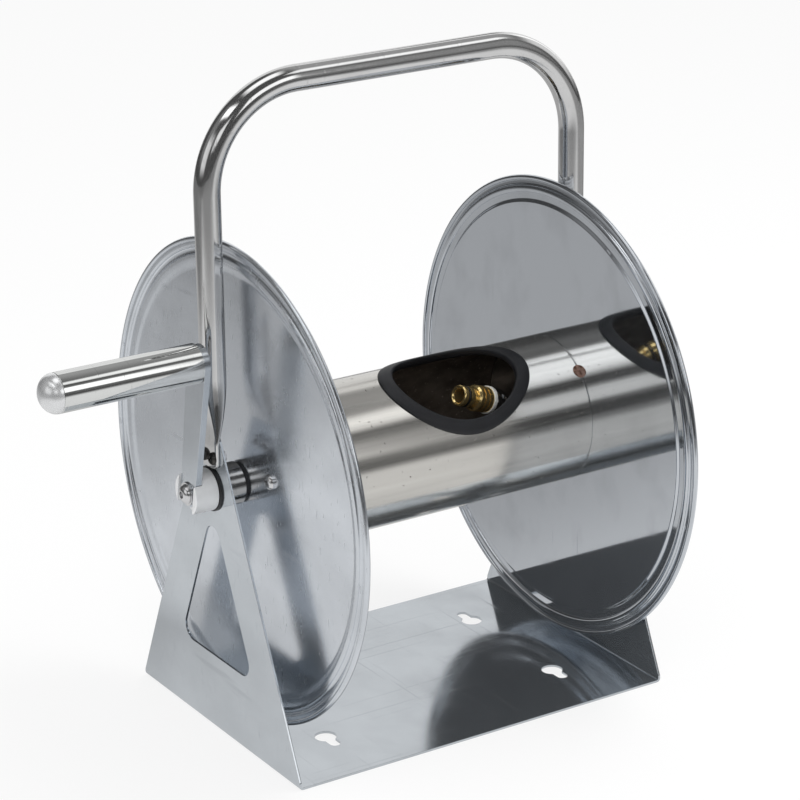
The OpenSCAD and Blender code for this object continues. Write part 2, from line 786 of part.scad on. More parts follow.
module crank_bolt() {
    seat = arm_out + washer_t;
    head_h = 3.3;
    head_r = bolt_head_d / 2;
    color([0.8, 0.8, 0.8]) in_crank() difference() {
        union() {
            turned([[seat, 0], [seat, head_r], [seat + 0.7, head_r], [seat + 1.8, head_r * 0.88],
                [seat + 2.7, head_r * 0.68], [seat + head_h, head_r * 0.42], [seat + head_h, 0]]);
            rod(arm_in - 16, seat, bolt_d / 2);
        }
        hex_bar(seat + 1.2, seat + head_h + over, 4);
    }
}

// Grip: a sleeve on two bushes, free to turn on the spindle
module grip_spindle() {
    color([0.7, 0.7, 0.71]) on_grip() union() {
        rod(arm_in, grip_end - grip_bush_inset + 5, spindle_d / 2);
        turned([[arm_in - 1.6, 0], [arm_in - 1.6, spindle_d / 2], [arm_in - 1, spindle_d / 2 + 1.6],
            [arm_in, spindle_d / 2 + 2.4], [arm_in, 0]]);
    }
}

module spindle_clip() {
    clip_at = grip_end - grip_bush_inset + 1;
    color([0.3, 0.3, 0.3]) on_grip() tube(clip_at, clip_at + clip_t, spindle_d / 2 + 2.5, spindle_d / 2 + snug);
}

module grip_bushes() {
    bush_outer = grip_d / 2 - grip_wall - snug;
    color([0.85, 0.85, 0.82]) on_grip() {
        tube(grip_start, grip_start + grip_bush_len, bush_outer, spindle_d / 2 + running);
        tube(grip_end - grip_bush_inset - grip_bush_len, grip_end - grip_bush_inset, bush_outer, spindle_d / 2 + running);
    }
}

module grip_sleeve() {
    r = grip_d / 2;
    color([0.8, 0.8, 0.79]) on_grip() difference() {
        turned([[grip_start, 0], [grip_start, r - 0.5], [grip_start + 0.5, r], [grip_end, r], [grip_end, 0]]);
        rod(grip_start - over, grip_end + over, r - grip_wall);
    }
}

module grip_end_cap() {
    r = grip_d / 2;
    plug_r = r - grip_wall - snug;
    steps = 14;
    color([0.82, 0.83, 0.84]) on_grip() turned(concat(
        [[grip_end - 6, 0], [grip_end - 6, plug_r], [grip_end, plug_r], [grip_end, r]],
        [for (i = [1:steps]) [grip_end + dome_h * sin(90 * i / steps), r * cos(90 * i / steps)]]));
}

stand();
carry_handle();
handle_screws();
handle_nuts();
left_bearing_housing();
left_bearing_bush();
left_thrust_washer();
right_thrust_washer();
swivel_body();
swivel_locknut();
swivel_washer();
swivel_seals();
inlet_nipple();
inlet_thread_seal();
inlet_o_ring();
drum_tube();
left_flange();
right_flange();
left_end_plate();
right_end_plate();
flange_screws();
weld_spots();
opening_edging();
crank_shaft();
water_shaft();
outlet_elbow();
outlet_thread_seal();
outlet_nipple();
outlet_o_ring();
crank_hub();
hub_set_screw();
crank_arm();
crank_bolt();
crank_washer();
grip_spindle();
spindle_clip();
grip_sleeve();
grip_end_cap();
grip_bushes();
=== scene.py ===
"""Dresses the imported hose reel: sheet steel, drum, crank, water fittings and a small studio."""

import json
import math
from functools import partial

import bpy
from bpy.props import FloatProperty, FloatVectorProperty, PointerProperty
from mathutils import Matrix, Vector


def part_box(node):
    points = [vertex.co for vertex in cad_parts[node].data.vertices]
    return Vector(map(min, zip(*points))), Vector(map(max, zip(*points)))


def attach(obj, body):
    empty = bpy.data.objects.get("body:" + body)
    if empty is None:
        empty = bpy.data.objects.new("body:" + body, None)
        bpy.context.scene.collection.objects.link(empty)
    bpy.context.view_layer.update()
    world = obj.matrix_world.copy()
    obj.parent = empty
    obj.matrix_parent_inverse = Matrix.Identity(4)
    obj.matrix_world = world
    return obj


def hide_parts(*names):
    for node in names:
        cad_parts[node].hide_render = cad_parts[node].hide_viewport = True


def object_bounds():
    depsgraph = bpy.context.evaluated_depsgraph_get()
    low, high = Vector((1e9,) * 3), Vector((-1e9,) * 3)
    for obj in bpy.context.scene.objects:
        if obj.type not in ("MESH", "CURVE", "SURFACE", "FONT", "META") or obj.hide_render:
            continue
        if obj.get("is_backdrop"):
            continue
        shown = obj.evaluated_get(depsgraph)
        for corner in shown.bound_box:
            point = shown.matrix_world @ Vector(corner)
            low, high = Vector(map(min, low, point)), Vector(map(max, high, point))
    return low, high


bl_info = {
    "name": "Hose Reel",
    "version": (1, 0, 0),
    "blender": (4, 5, 0),
    "location": "View3D > Sidebar > Hose Reel",
    "description": "Builds the visible pieces and finishes of a steel hose reel on its packed frame",
    "category": "Object",
}

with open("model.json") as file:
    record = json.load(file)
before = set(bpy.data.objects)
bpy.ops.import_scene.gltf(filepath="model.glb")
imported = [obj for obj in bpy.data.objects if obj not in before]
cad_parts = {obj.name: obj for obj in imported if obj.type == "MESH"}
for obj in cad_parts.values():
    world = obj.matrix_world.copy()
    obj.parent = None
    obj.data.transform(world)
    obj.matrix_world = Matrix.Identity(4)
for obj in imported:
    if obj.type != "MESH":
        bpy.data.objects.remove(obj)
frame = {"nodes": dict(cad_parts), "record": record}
cad_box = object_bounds()

AXLE_HEIGHT = sum(corner.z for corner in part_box("crank_shaft")) / 2


def length(name, description, default):
    return FloatProperty(
        name=name, description=description, default=default, min=0.0, unit="LENGTH", precision=5)


def angle(name, description, degrees):
    return FloatProperty(
        name=name, description=description, default=math.radians(degrees), subtype="ANGLE")


def colour(name, description, default):
    return FloatVectorProperty(
        name=name, description=description, default=default, min=0.0, max=1.0, subtype="COLOR")


class ReelSizes(bpy.types.PropertyGroup):
    """Sizes of the pieces that are modelled here."""

    flange_diameter: length("Flange", "Diameter of the two flanges", 0.300)
    flange_gap: length("Flange gap", "Distance between the flat webs of the flanges", 0.2276)
    flange_sheet: length("Flange sheet", "Thickness of the flange sheet", 0.001)
    rim_width: length("Rim ring", "Width of the pressed ring inside the rim", 0.0165)
    rim_step: length("Rim step", "Depth of the pressed step", 0.0012)
    curl: length("Rolled edge", "Radius of the rolled edge", 0.0017)
    drum_diameter: length("Drum", "Outer diameter of the drum", 0.095)
    drum_wall: length("Drum wall", "Wall of the drum", 0.0012)
    opening_place: length("Opening place", "Opening's middle to the right of the drum's middle", 0.030)
    opening_length: length("Opening length", "Half length of the hole in the drum", 0.0445)
    opening_width: length("Opening width", "Half width of the hole in the drum", 0.0335)
    opening_lean: angle("Opening lean", "Lean of the opening from the top to the front", 22)
    edging_ends: length("Edging at the ends", "Reach of the rubber over the drum at its ends", 0.007)
    edging_sides: length("Edging at the sides", "Reach of the rubber over the drum at its sides", 0.0035)
    edging_web: length("Edging web", "Rubber inside the hole's edge", 0.003)
    edging_lip: length("Edging lip", "Thickness of the rubber over the drum's wall", 0.002)
    tube: length("Handle tube", "Diameter of the handle tube", 0.016)
    handle_height: length("Handle height", "Height of the middle of the handle's top bar", 0.4028)
    handle_bend: length("Handle bend", "Radius of the handle's bends", 0.061)
    leg_place: length("Handle leg", "Distance of a handle leg from the middle", 0.1295)
    tab_width: length("Handle end width", "Width of the handle's flat end", 0.025)
    tab_sheet: length("Handle end thickness", "Thickness of the handle's flat end", 0.0026)
    grip_diameter: length("Grip", "Diameter of the grip", 0.024)
    nose: length("Nipple nose", "Diameter of a nipple's nose", 0.0134)
    nipple_bore: length("Nipple bore", "Bore of a nipple", 0.0088)
    nipple_collar: length("Nipple collar", "Diameter of a nipple's collar", 0.0166)
    outlet_tilt: angle("Outlet tilt", "Angle of the outlet nipple to the shaft", 22)


class ReelColours(bpy.types.PropertyGroup):
    """Colours of the finishes."""

    sheet: colour("Stand sheet", "Rolled stainless sheet of the stand", (0.59, 0.625, 0.66))
    tube: colour("Handle tube", "Polished tube of the carry handle", (0.70, 0.70, 0.70))
    flange: colour("Flange sheet", "Pressed stainless sheet of the flanges", (0.64, 0.67, 0.71))
    drum: colour("Drum sheet", "Brushed stainless sheet of the drum", (0.69, 0.675, 0.64))
    turned: colour("Turned steel", "Shafts and bearing housing", (0.50, 0.49, 0.48))
    plated: colour("Plated steel", "Screws, nuts and washers", (0.72, 0.72, 0.73))
    dark_screw: colour("Dark screw", "Blackened screws of the handle", (0.10, 0.095, 0.09))
    aluminium: colour("Aluminium", "Hub and grip cap", (0.93, 0.94, 0.95))
    chrome: colour("Grip tube", "Polished tube of the grip", (0.80, 0.81, 0.80))
    brass: colour("Brass", "Nipples and swivel", (0.98, 0.74, 0.33))
    rubber: colour("Rubber", "Edging of the opening", (0.0075, 0.008, 0.010))
    black_plastic: colour("Black plastic", "Bearing bush and washers", (0.016, 0.016, 0.018))
    white_plastic: colour("White plastic", "Thread seals and grip bushes", (0.80, 0.80, 0.77))
    weld: colour("Weld", "Heat tint of the weld spots", (0.16, 0.085, 0.06))


def sizes():
    return bpy.context.scene.reel_sizes


def colours():
    return bpy.context.scene.reel_colours


# Finishes


def math_node(tree, how, first, second=None):
    """One sum on sockets or numbers."""
    node = tree.nodes.new("ShaderNodeMath")
    node.operation = how
    for socket, value in zip(node.inputs, (first, second)):
        if hasattr(value, "links"):
            tree.links.new(value, socket)
        elif value is not None:
            socket.default_value = value
    return node.outputs[0]


def map_range(tree, value, limits, kind="LINEAR"):
    """Maps a value from one range (low, high) onto another (low, high), clamped."""
    node = tree.nodes.new("ShaderNodeMapRange")
    node.interpolation_type = kind
    for socket, number in zip(("From Min", "From Max", "To Min", "To Max"), limits):
        node.inputs[socket].default_value = number
    tree.links.new(value, node.inputs["Value"])
    return node.outputs["Result"]


class Finish:
    """A node material under construction, on Object coordinates."""

    def __init__(self, name, rough, metallic=1.0):
        self.material = bpy.data.materials.new(name)
        self.material.use_nodes = True
        self.tree = self.material.node_tree
        self.nodes = self.tree.nodes
        self.links = self.tree.links
        self.shader = self.nodes["Principled BSDF"]
        self.shader.inputs["Metallic"].default_value = metallic
        self.shader.inputs["Roughness"].default_value = rough
        self.place = self.nodes.new("ShaderNodeTexCoord").outputs["Object"]
        self.normal = None

    def noise(self, stretch, detail, turn=(0, 0, 0)):
        """Noise whose blotches are 1 / stretch metres long along each axis."""
        mapping = self.nodes.new("ShaderNodeMapping")
        mapping.inputs["Scale"].default_value = stretch
        mapping.inputs["Rotation"].default_value = turn
        self.links.new(self.place, mapping.inputs["Vector"])
        noise = self.nodes.new("ShaderNodeTexNoise")
        noise.inputs["Scale"].default_value = 1.0
        noise.inputs["Detail"].default_value = detail
        self.links.new(mapping.outputs["Vector"], noise.inputs["Vector"])
        return noise.outputs["Fac"]

    def spread(self, value, low, high, out_low=0.0, out_high=1.0):
        """Maps a value's low to high onto another range, clamped."""
        return map_range(self.tree, value, (low, high, out_low, out_high))

    def sum(self, first, second, how="ADD"):
        return math_node(self.tree, how, first, second)

    def paint(self, base, other, share):
        """Mixes two colours by a pattern. The first call starts from a plain colour."""
        mix = self.nodes.new("ShaderNodeMix")
        mix.data_type = "RGBA"
        self.links.new(share, mix.inputs["Factor"])
        if hasattr(base, "links"):
            self.links.new(base, mix.inputs["A"])
        else:
            mix.inputs["A"].default_value = (*base, 1)
        mix.inputs["B"].default_value = (*other, 1)
        self.links.new(mix.outputs["Result"], self.shader.inputs["Base Color"])
        return mix.outputs["Result"]

    def dull(self, value):
        self.links.new(value, self.shader.inputs["Roughness"])

    def raise_by(self, height, distance):
        """Adds a relief of that height in metres."""
        bump = self.nodes.new("ShaderNodeBump")
        bump.inputs["Strength"].default_value = 1.0
        bump.inputs["Distance"].default_value = distance
        self.links.new(height, bump.inputs["Height"])
        if self.normal:
            self.links.new(self.normal, bump.inputs["Normal"])
        self.normal = bump.outputs["Normal"]
        self.links.new(self.normal, self.shader.inputs["Normal"])


def shade(tint, factor):
    return tuple(min(1.0, channel * factor) for channel in tint)


def made(make):
    """Returns a finish by its maker's name, and makes it the first time."""
    name = "reel_" + make.__name__
    return bpy.data.materials.get(name) or make(name)


def steel(name, tint, rough, smudge=0.06, waves=0.0, grain=(900, 900, 900), grain_depth=2e-6,
          scratches=0.08, metallic=0.97):
    """Stainless steel with smudges, fine scratches and a slight waviness."""
    finish = Finish(name, rough, metallic)
    blotch = finish.spread(finish.noise((22, 17, 26), 5), 0.38, 0.66)
    patina = finish.paint(shade(tint, 1.03), shade(tint, 0.93), blotch)
    grit = finish.noise(grain, 2)
    line_a = finish.spread(finish.noise((5, 700, 90), 2, turn=(0.5, 0.3, 0.7)), 0.66, 0.72)
    line_b = finish.spread(finish.noise((600, 8, 70), 2, turn=(0.2, 0.9, 0.4)), 0.67, 0.73)
    scores = finish.sum(line_a, line_b, "MAXIMUM")
    finish.paint(patina, shade(tint, 0.82), finish.spread(scores, 0, 1, 0, 0.6))
    base = finish.spread(blotch, 0, 1, max(0.02, rough - smudge / 2), rough + smudge / 2)
    worn = finish.sum(base, finish.spread(scores, 0, 1, 0, scratches))
    finish.dull(finish.sum(worn, finish.spread(grit, 0.3, 0.7, -0.02, 0.02)))
    if waves:
        finish.raise_by(finish.noise((9, 12, 11), 1), waves)
    finish.raise_by(grit, grain_depth)
    finish.raise_by(finish.spread(scores, 0, 1, 1, 0), 6e-6)
    return finish.material


def stand_sheet(name):
    return steel(name, colours().sheet, 0.115, waves=0.00015, scratches=0.12, metallic=0.95)


def flange_outside(name):
    return steel(name, shade(colours().flange, 1.1), 0.21, waves=0.0002, scratches=0.12)


def flange_inside(name):
    """The mirror side of a flange: clear, with faint upright stains."""
    finish = Finish(name, 0.05, 0.98)
    tint = colours().flange
    stain = finish.spread(finish.noise((60, 34, 26), 5), 0.5, 0.76)
    patina = finish.paint(tint, shade(tint, 0.88), stain)
    line = finish.spread(finish.noise((9, 420, 16), 2, turn=(0.35, 0, 0)), 0.72, 0.77)
    finish.paint(patina, shade(tint, 0.82), line)
    finish.dull(finish.sum(finish.spread(stain, 0, 1, 0.045, 0.085), finish.spread(line, 0, 1, 0, 0.1)))
    finish.raise_by(finish.noise((10, 13, 12), 1), 0.00022)
    return finish.material


def drum_sheet(name):
    """Sheet brushed along the drum, with bright and dull bands and tiny pits."""
    finish = Finish(name, 0.2, 0.97)
    tint = colours().drum
    band = finish.spread(finish.noise((2.5, 90, 90), 4), 0.3, 0.7)
    patina = finish.paint(shade(tint, 1.03), shade(tint, 0.85), band)
    pits = finish.spread(finish.noise((420, 420, 420), 2), 0.70, 0.76)
    finish.paint(patina, (0.10, 0.09, 0.08), pits)
    brush = finish.noise((10, 1500, 1500), 3)
    finish.dull(finish.sum(finish.spread(brush, 0.3, 0.7, 0.13, 0.2), finish.spread(pits, 0, 1, 0, 0.3)))
    finish.raise_by(brush, 6e-6)
    finish.raise_by(finish.spread(pits, 0, 1, 1, 0), 2e-5)
    return finish.material


def drum_inside(name):
    """The drum's inner side: dark brown, far darker than the outside, dull and speckled."""
    finish = Finish(name, 0.5, 0.7)
    cloud = finish.spread(finish.noise((60, 90, 90), 5), 0.35, 0.65)
    patina = finish.paint((0.13, 0.105, 0.085), (0.24, 0.20, 0.165), cloud)
    speck = finish.spread(finish.noise((520, 520, 520), 3), 0.64, 0.72)
    finish.paint(patina, (0.5, 0.45, 0.4), speck)
    finish.dull(finish.spread(cloud, 0, 1, 0.55, 0.4))
    finish.raise_by(finish.noise((900, 900, 900), 3), 2e-5)
    return finish.material


def handle_tube(name):
    """Polished tube with faint lengthwise drawing marks."""
    return steel(name, colours().tube, 0.09, waves=0.00008, grain=(300, 1400, 300))


def arm_sheet(name):
    return steel(name, colours().sheet, 0.17, waves=0.00008)


def turned_steel(name):
    return steel(name, colours().turned, 0.13, grain=(2200, 60, 60), grain_depth=3e-6)


def plated_steel(name):
    return steel(name, colours().plated, 0.2, grain=(700, 700, 700))


def grip_chrome(name):
    chrome = shade(colours().chrome, 0.95)
    return steel(name, chrome, 0.06, smudge=0.04, scratches=0.05, metallic=0.99)


def satin(name, tint, rough, metallic=0.7):
    """Satin turned aluminium with fine rings."""
    finish = Finish(name, rough, metallic)
    rings = finish.noise((2600, 40, 40), 2)
    cloud = finish.spread(finish.noise((60, 60, 60), 3), 0.35, 0.65)
    finish.paint(shade(tint, 1.02), shade(tint, 0.92), cloud)
    finish.dull(finish.spread(rings, 0.3, 0.7, rough - 0.05, rough + 0.06))
    finish.raise_by(rings, 5e-6)
    return finish.material


def hub_aluminium(name):
    return satin(name, colours().aluminium, 0.5, 0.5)


def cap_aluminium(name):
    return satin(name, shade(colours().aluminium, 0.87), 0.26)


def dark_screw(name):
    """Blackened steel with bright worn specks."""
    finish = Finish(name, 0.35)
    tint = colours().dark_screw
    worn = finish.spread(finish.noise((900, 900, 900), 3), 0.62, 0.72)
    finish.paint(tint, (0.55, 0.54, 0.52), worn)
    finish.dull(finish.spread(worn, 0, 1, 0.4, 0.2))
    finish.raise_by(finish.noise((1800, 1800, 1800), 2), 1e-5)
    return finish.material


def brass(name):
    """Turned brass, slightly tarnished in places."""
    finish = Finish(name, 0.2, 0.92)
    tint = colours().brass
    tarnish = finish.spread(finish.noise((190, 190, 190), 4), 0.45, 0.72)
    finish.paint(tint, shade(tint, 0.75), tarnish)
    finish.dull(finish.spread(tarnish, 0, 1, 0.13, 0.26))
    finish.raise_by(finish.noise((2500, 80, 80), 2), 5e-6)
    return finish.material


def weld(name):
    """Heat-tinted weld: brown with lighter rings and a rough skin."""
    finish = Finish(name, 0.38, 0.85)
    tint = colours().weld
    rings = finish.spread(finish.noise((380, 380, 380), 3), 0.4, 0.62)
    finish.paint(tint, (0.36, 0.22, 0.17), rings)
    finish.dull(finish.spread(rings, 0, 1, 0.45, 0.28))
    finish.raise_by(finish.noise((1300, 1300, 1300), 3), 6e-5)
    return finish.material


def matt(name, tint, rough, grain, depth, other):
    """Moulded rubber or plastic with a fine grain and dusty patches."""
    finish = Finish(name, rough, 0.0)
    dust = finish.spread(finish.noise((70, 70, 70), 5), 0.45, 0.75)
    finish.paint(tint, other, dust)
    finish.dull(finish.spread(dust, 0, 1, rough, min(1.0, rough + 0.12)))
    finish.raise_by(finish.noise((grain, grain, grain), 3), depth)
    return finish.material


def edging_rubber(name):
    tint = colours().rubber
    return matt(name, tint, 0.5, 1500, 2e-5, shade(tint, 1.7))


def seal_rubber(name):
    return matt(name, shade(colours().rubber, 0.6), 0.45, 1200, 1e-5, shade(colours().rubber, 1.1))


def black_plastic(name):
    tint = colours().black_plastic
    return matt(name, tint, 0.38, 1400, 8e-6, shade(tint, 1.6))


def white_plastic(name):
    tint = colours().white_plastic
    material = matt(name, tint, 0.4, 1400, 8e-6, shade(tint, 0.88))
    shader = material.node_tree.nodes["Principled BSDF"]
    shader.inputs["Subsurface Weight"].default_value = 0.15
    shader.inputs["Subsurface Radius"].default_value = (0.002, 0.002, 0.002)
    return material


FINISH_OF_SLOT = {
    "stand_sheet": stand_sheet,
    "handle_tube": handle_tube,
    "drum_sheet": drum_sheet,
    "flange_sheet": flange_outside,
    "arm_sheet": arm_sheet,
    "turned_steel": turned_steel,
    "zinc_steel": plated_steel,
    "dark_screw": dark_screw,
    "hub_aluminium": hub_aluminium,
    "grip_tube": grip_chrome,
    "grip_dome": cap_aluminium,
    "brass": brass,
    "edging_rubber": edging_rubber,
    "black_rubber": seal_rubber,
    "black_acetal": black_plastic,
    "white_acetal": white_plastic,
    "white_seal": white_plastic,
    "weld": weld,
}
SLOT_OF_NODE = {part["node"]: part["material_slot"] for part in frame["record"]["subparts"]}
BODY_OF_NODE = {
    node: body for body, members in frame["record"]["behaviour"]["bodies"].items() for node in members
}


def finish_of(node):
    return made(FINISH_OF_SLOT[SLOT_OF_NODE[node]])


# Making and shaping

# Points of a mesh that lie closer than this are one point
MERGE_WITHIN = 2e-6

# Faces of a CAD node flatter than the first are one face, and edges sharper than the second are broken
FLAT_ANGLE = math.radians(0.6)
SHARP_ANGLE = math.radians(35)

# Air between two pieces that touch
AIR = 0.00003


def only(obj):
    """Leaves one object selected and active."""
    bpy.ops.object.select_all(action="DESELECT")
    obj.select_set(True)
    bpy.context.view_layer.objects.active = obj


def edit_all():
    """Opens the active piece in edit mode, all of it selected."""
    bpy.ops.object.mode_set(mode="EDIT")
    bpy.ops.mesh.select_all(action="SELECT")


def end_edit():
    bpy.ops.object.mode_set(mode="OBJECT")


def start():
    """Deselects everything, so that an operator acts on the new piece alone."""
    if bpy.context.object and bpy.context.object.mode != "OBJECT":
        end_edit()
    bpy.ops.object.select_all(action="DESELECT")


def apply_modifiers(obj):
    only(obj)
    for modifier in list(obj.modifiers):
        bpy.ops.object.modifier_apply(modifier=modifier.name)


def smooth(obj, degrees=32):
    """Smooth shading across shallow angles, with flat faces kept flat."""
    only(obj)
    bpy.ops.object.shade_smooth_by_angle(angle=math.radians(degrees))
    weighted = obj.modifiers.new("Even normals", "WEIGHTED_NORMAL")
    weighted.keep_sharp = True
    apply_modifiers(obj)


def tidy_mesh(obj, outward=True):
    """Merges doubles and points the faces outwards."""
    only(obj)
    edit_all()
    bpy.ops.mesh.remove_doubles(threshold=MERGE_WITHIN)
    if outward:
        bpy.ops.mesh.normals_make_consistent(inside=False)
    end_edit()


def hand_over(obj, name, node, coats=None):
    """Names a piece, coats it, and lets it ride in the place of its CAD node."""
    obj.name = name
    obj.data.name = name
    obj.data.materials.clear()
    for coat in coats or [finish_of(node)]:
        obj.data.materials.append(coat)
    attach(obj, BODY_OF_NODE[node])
    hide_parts(node)


def eased(profile, size, steps=3):
    """Rounds every corner of a profile, its ends left as they are."""
    points = [profile[0]]
    for before, corner, after in zip(profile, profile[1:], profile[2:]):
        a, b, c = Vector(before), Vector(corner), Vector(after)
        into, out = a - b, c - b
        start_at = b + into.normalized() * min(size, into.length * 0.45)
        end_at = b + out.normalized() * min(size, out.length * 0.45)
        for i in range(steps + 1):
            t = i / steps
            points.append(tuple(start_at * (1 - t) ** 2 + b * 2 * t * (1 - t) + end_at * t ** 2))
    return points + [profile[-1]]


def closed_eased(profile, size, steps=3):
    """Rounds every corner of a closed profile. It starts and ends halfway along its first side."""
    middle = tuple((a + b) / 2 for a, b in zip(profile[0], profile[1]))
    return eased([middle] + profile[1:] + [profile[0], middle], size, steps)


def turned(profile, at=(0.0, AXLE_HEIGHT), steps=128):
    """Spins a profile of (x, radius) points round a line along X that goes through (y, z)."""
    start()
    y, z = at
    bpy.ops.mesh.primitive_plane_add(size=0.01, location=(0, 0, 0))
    obj = bpy.context.object
    edit_all()
    bpy.ops.mesh.merge(type="CENTER")
    bpy.ops.transform.translate(value=(profile[0][0], y, z + profile[0][1]))
    for (x0, r0), (x1, r1) in zip(profile, profile[1:]):
        bpy.ops.mesh.extrude_vertices_move(TRANSFORM_OT_translate={"value": (x1 - x0, 0, r1 - r0)})
    bpy.ops.mesh.select_all(action="SELECT")
    bpy.ops.mesh.spin(steps=steps, angle=math.tau, center=(0, y, z), axis=(1, 0, 0))
    end_edit()
    tidy_mesh(obj)
    return obj


def rolled(stations, sides, place, capped=True):
    """Rolls a flat grid up into a tube. place(share, turn) says where each point goes."""
    start()
    bpy.ops.mesh.primitive_grid_add(
        x_subdivisions=stations, y_subdivisions=sides, size=2, location=(0, 0, 0))
    obj = bpy.context.object
    for vertex in obj.data.vertices:
        vertex.co = place((vertex.co.x + 1) / 2, (vertex.co.y + 1) * math.pi)
    tidy_mesh(obj, outward=False)
    edit_all()
    if capped:
        bpy.ops.mesh.fill_holes(sides=0)
        bpy.ops.mesh.select_all(action="SELECT")
    bpy.ops.mesh.normals_make_consistent(inside=False)
    end_edit()
    return obj


def dressed(node, name, width, steps=2):
    """A merged copy of a CAD node with its sharp edges broken."""
    start()
    obj = bpy.data.objects.new(name, frame["nodes"][node].data.copy())
    bpy.context.scene.collection.objects.link(obj)
    only(obj)
    bpy.ops.mesh.customdata_custom_splitnormals_clear()
    edit_all()
    bpy.ops.mesh.remove_doubles(threshold=MERGE_WITHIN)
    bpy.ops.mesh.dissolve_limited(angle_limit=FLAT_ANGLE)
    end_edit()
    bevel = obj.modifiers.new("Broken edges", "BEVEL")
    bevel.width = width
    bevel.segments = steps
    bevel.limit_method = "ANGLE"
    bevel.angle_limit = SHARP_ANGLE
    bevel.use_clamp_overlap = True
    bevel.miter_outer = "MITER_ARC"
    apply_modifiers(obj)
    smooth(obj)
    hand_over(obj, name, node)


# Pieces

# Fixed sizes of the flanges: their bores, and the bead pressed into the rim
LEFT_BORE = 0.00603
RIGHT_BORE = 0.00803
BEAD_INSET = 0.00875
BEAD_HALF = 0.0022
BEAD_DEPTH = 0.0013

# The last stretch of the drum's wall at each end, where its edge is rolled in a little
DRUM_EDGE = 0.0006
DRUM_EDGE_ROLL = 0.00025

# Heights above the shaft between which the handle's end opens from flat to round
CRIMP_START = 0.031
CRIMP_END = 0.070
TAB_CORNER = 0.005

GRIP_WALL = 0.0015

# Fixed sizes of a nipple: its foot in the socket, its body, its stem, its thread, groove and rings
NIPPLE_FOOT = 0.007
NIPPLE_BODY = 0.012
NIPPLE_STEM = 0.0124
THREAD_RADIUS = 0.0063
GROOVE_DEPTH = 0.0016
RING_PLACE = 0.0048
RING_THICKNESS = 0.00085
SEAL_LENGTH = 0.0026
SEAL_BORE = 0.00633

# The outlet elbow in the opening's frame: its socket on the shaft as (place, radius), and its bends
SOCKET = (
    (0.0973, 0.0082), (0.0973, 0.0100), (0.0967, 0.0106),
    (0.0880, 0.0106), (0.0873, 0.0100), (0.0870, 0.0088),
)
ELBOW_BEND = 0.0843
OUTLET_PLACE = (0.0675, 0, 0.0168)
OUTLET_STUB = 0.006
ELBOW_RADIUS = 0.0086


def flange_profile(bore):
    """The pressed sheet from its bore to its rolled edge and back: (x past the inner web, radius)."""
    s = sizes()
    rim = s.flange_diameter / 2
    step_at = rim - s.rim_width
    bead = rim - BEAD_INSET
    depth = s.rim_step
    inner = [(0, bore), (0, step_at - 0.0004), (depth, step_at + 0.0011), (depth, bead - 0.0025)]
    for i in range(9):
        turn = math.pi * i / 8
        inner.append((depth - BEAD_DEPTH * math.sin(turn), bead - BEAD_HALF * math.cos(turn)))
    inner += [(depth, bead + 0.0026), (depth + 0.0007, rim - 0.0056), (depth + 0.0008, rim - 0.0042)]
    curl_x = depth + 0.0013
    curl_r = rim - s.curl
    half = s.flange_sheet / 2
    lean = math.asin(half / s.curl)
    curl = []
    for i in range(25):
        turn = math.pi + lean + (math.tau - 2 * lean) * i / 24
        curl.append((curl_x + s.curl * math.sin(turn), curl_r + s.curl * math.cos(turn)))
    outer = [(x + s.flange_sheet, r) for x, r in reversed(inner)]
    outer[-3] = (outer[-3][0], outer[-3][1] + 0.0012)
    outer[-2] = (outer[-2][0], outer[-2][1] - 0.0016)
    return inner, curl, outer


def make_flange(side, node, bore):
    """One flange: the pressed sheet spun round the shaft, mirror inside and satin outside."""
    s = sizes()
    inner, curl, outer = flange_profile(bore)
    soft_inner = eased(inner, 0.0005, 4)
    soft_outer = eased(outer, 0.0014, 5)
    loop = soft_inner + curl + soft_outer + [inner[0]]
    web = s.flange_gap / 2
    obj = turned([(side * (web + x), r) for x, r in loop], steps=256)
    smooth(obj, 40)
    coats = [made(flange_outside), made(flange_inside)]
    hand_over(obj, node + "_disc", node, coats)
    for face in obj.data.polygons:
        face.material_index = 1 if face.normal.x * side < 0 else 0


def on_drum(radius, along, across):
    """A point on a cylinder round the shaft, from its place in the opening's own frame."""
    s = sizes()
    rise = math.sqrt(max(0.0, radius * radius - across * across))
    lean = s.opening_lean
    y = across * math.cos(lean) - rise * math.sin(lean)
    z = across * math.sin(lean) + rise * math.cos(lean)
    return Vector((s.opening_place + along, y, AXLE_HEIGHT + z))


def hole_place(point):
    """A point's place in the opening's own frame, as shares of the hole's half sizes."""
    s = sizes()
    lean = s.opening_lean
    y, z = point.y, point.z - AXLE_HEIGHT
    across = y * math.cos(lean) + z * math.sin(lean)
    rise = -y * math.sin(lean) + z * math.cos(lean)
    return (point.x - s.opening_place) / s.opening_length, across / s.opening_width, rise


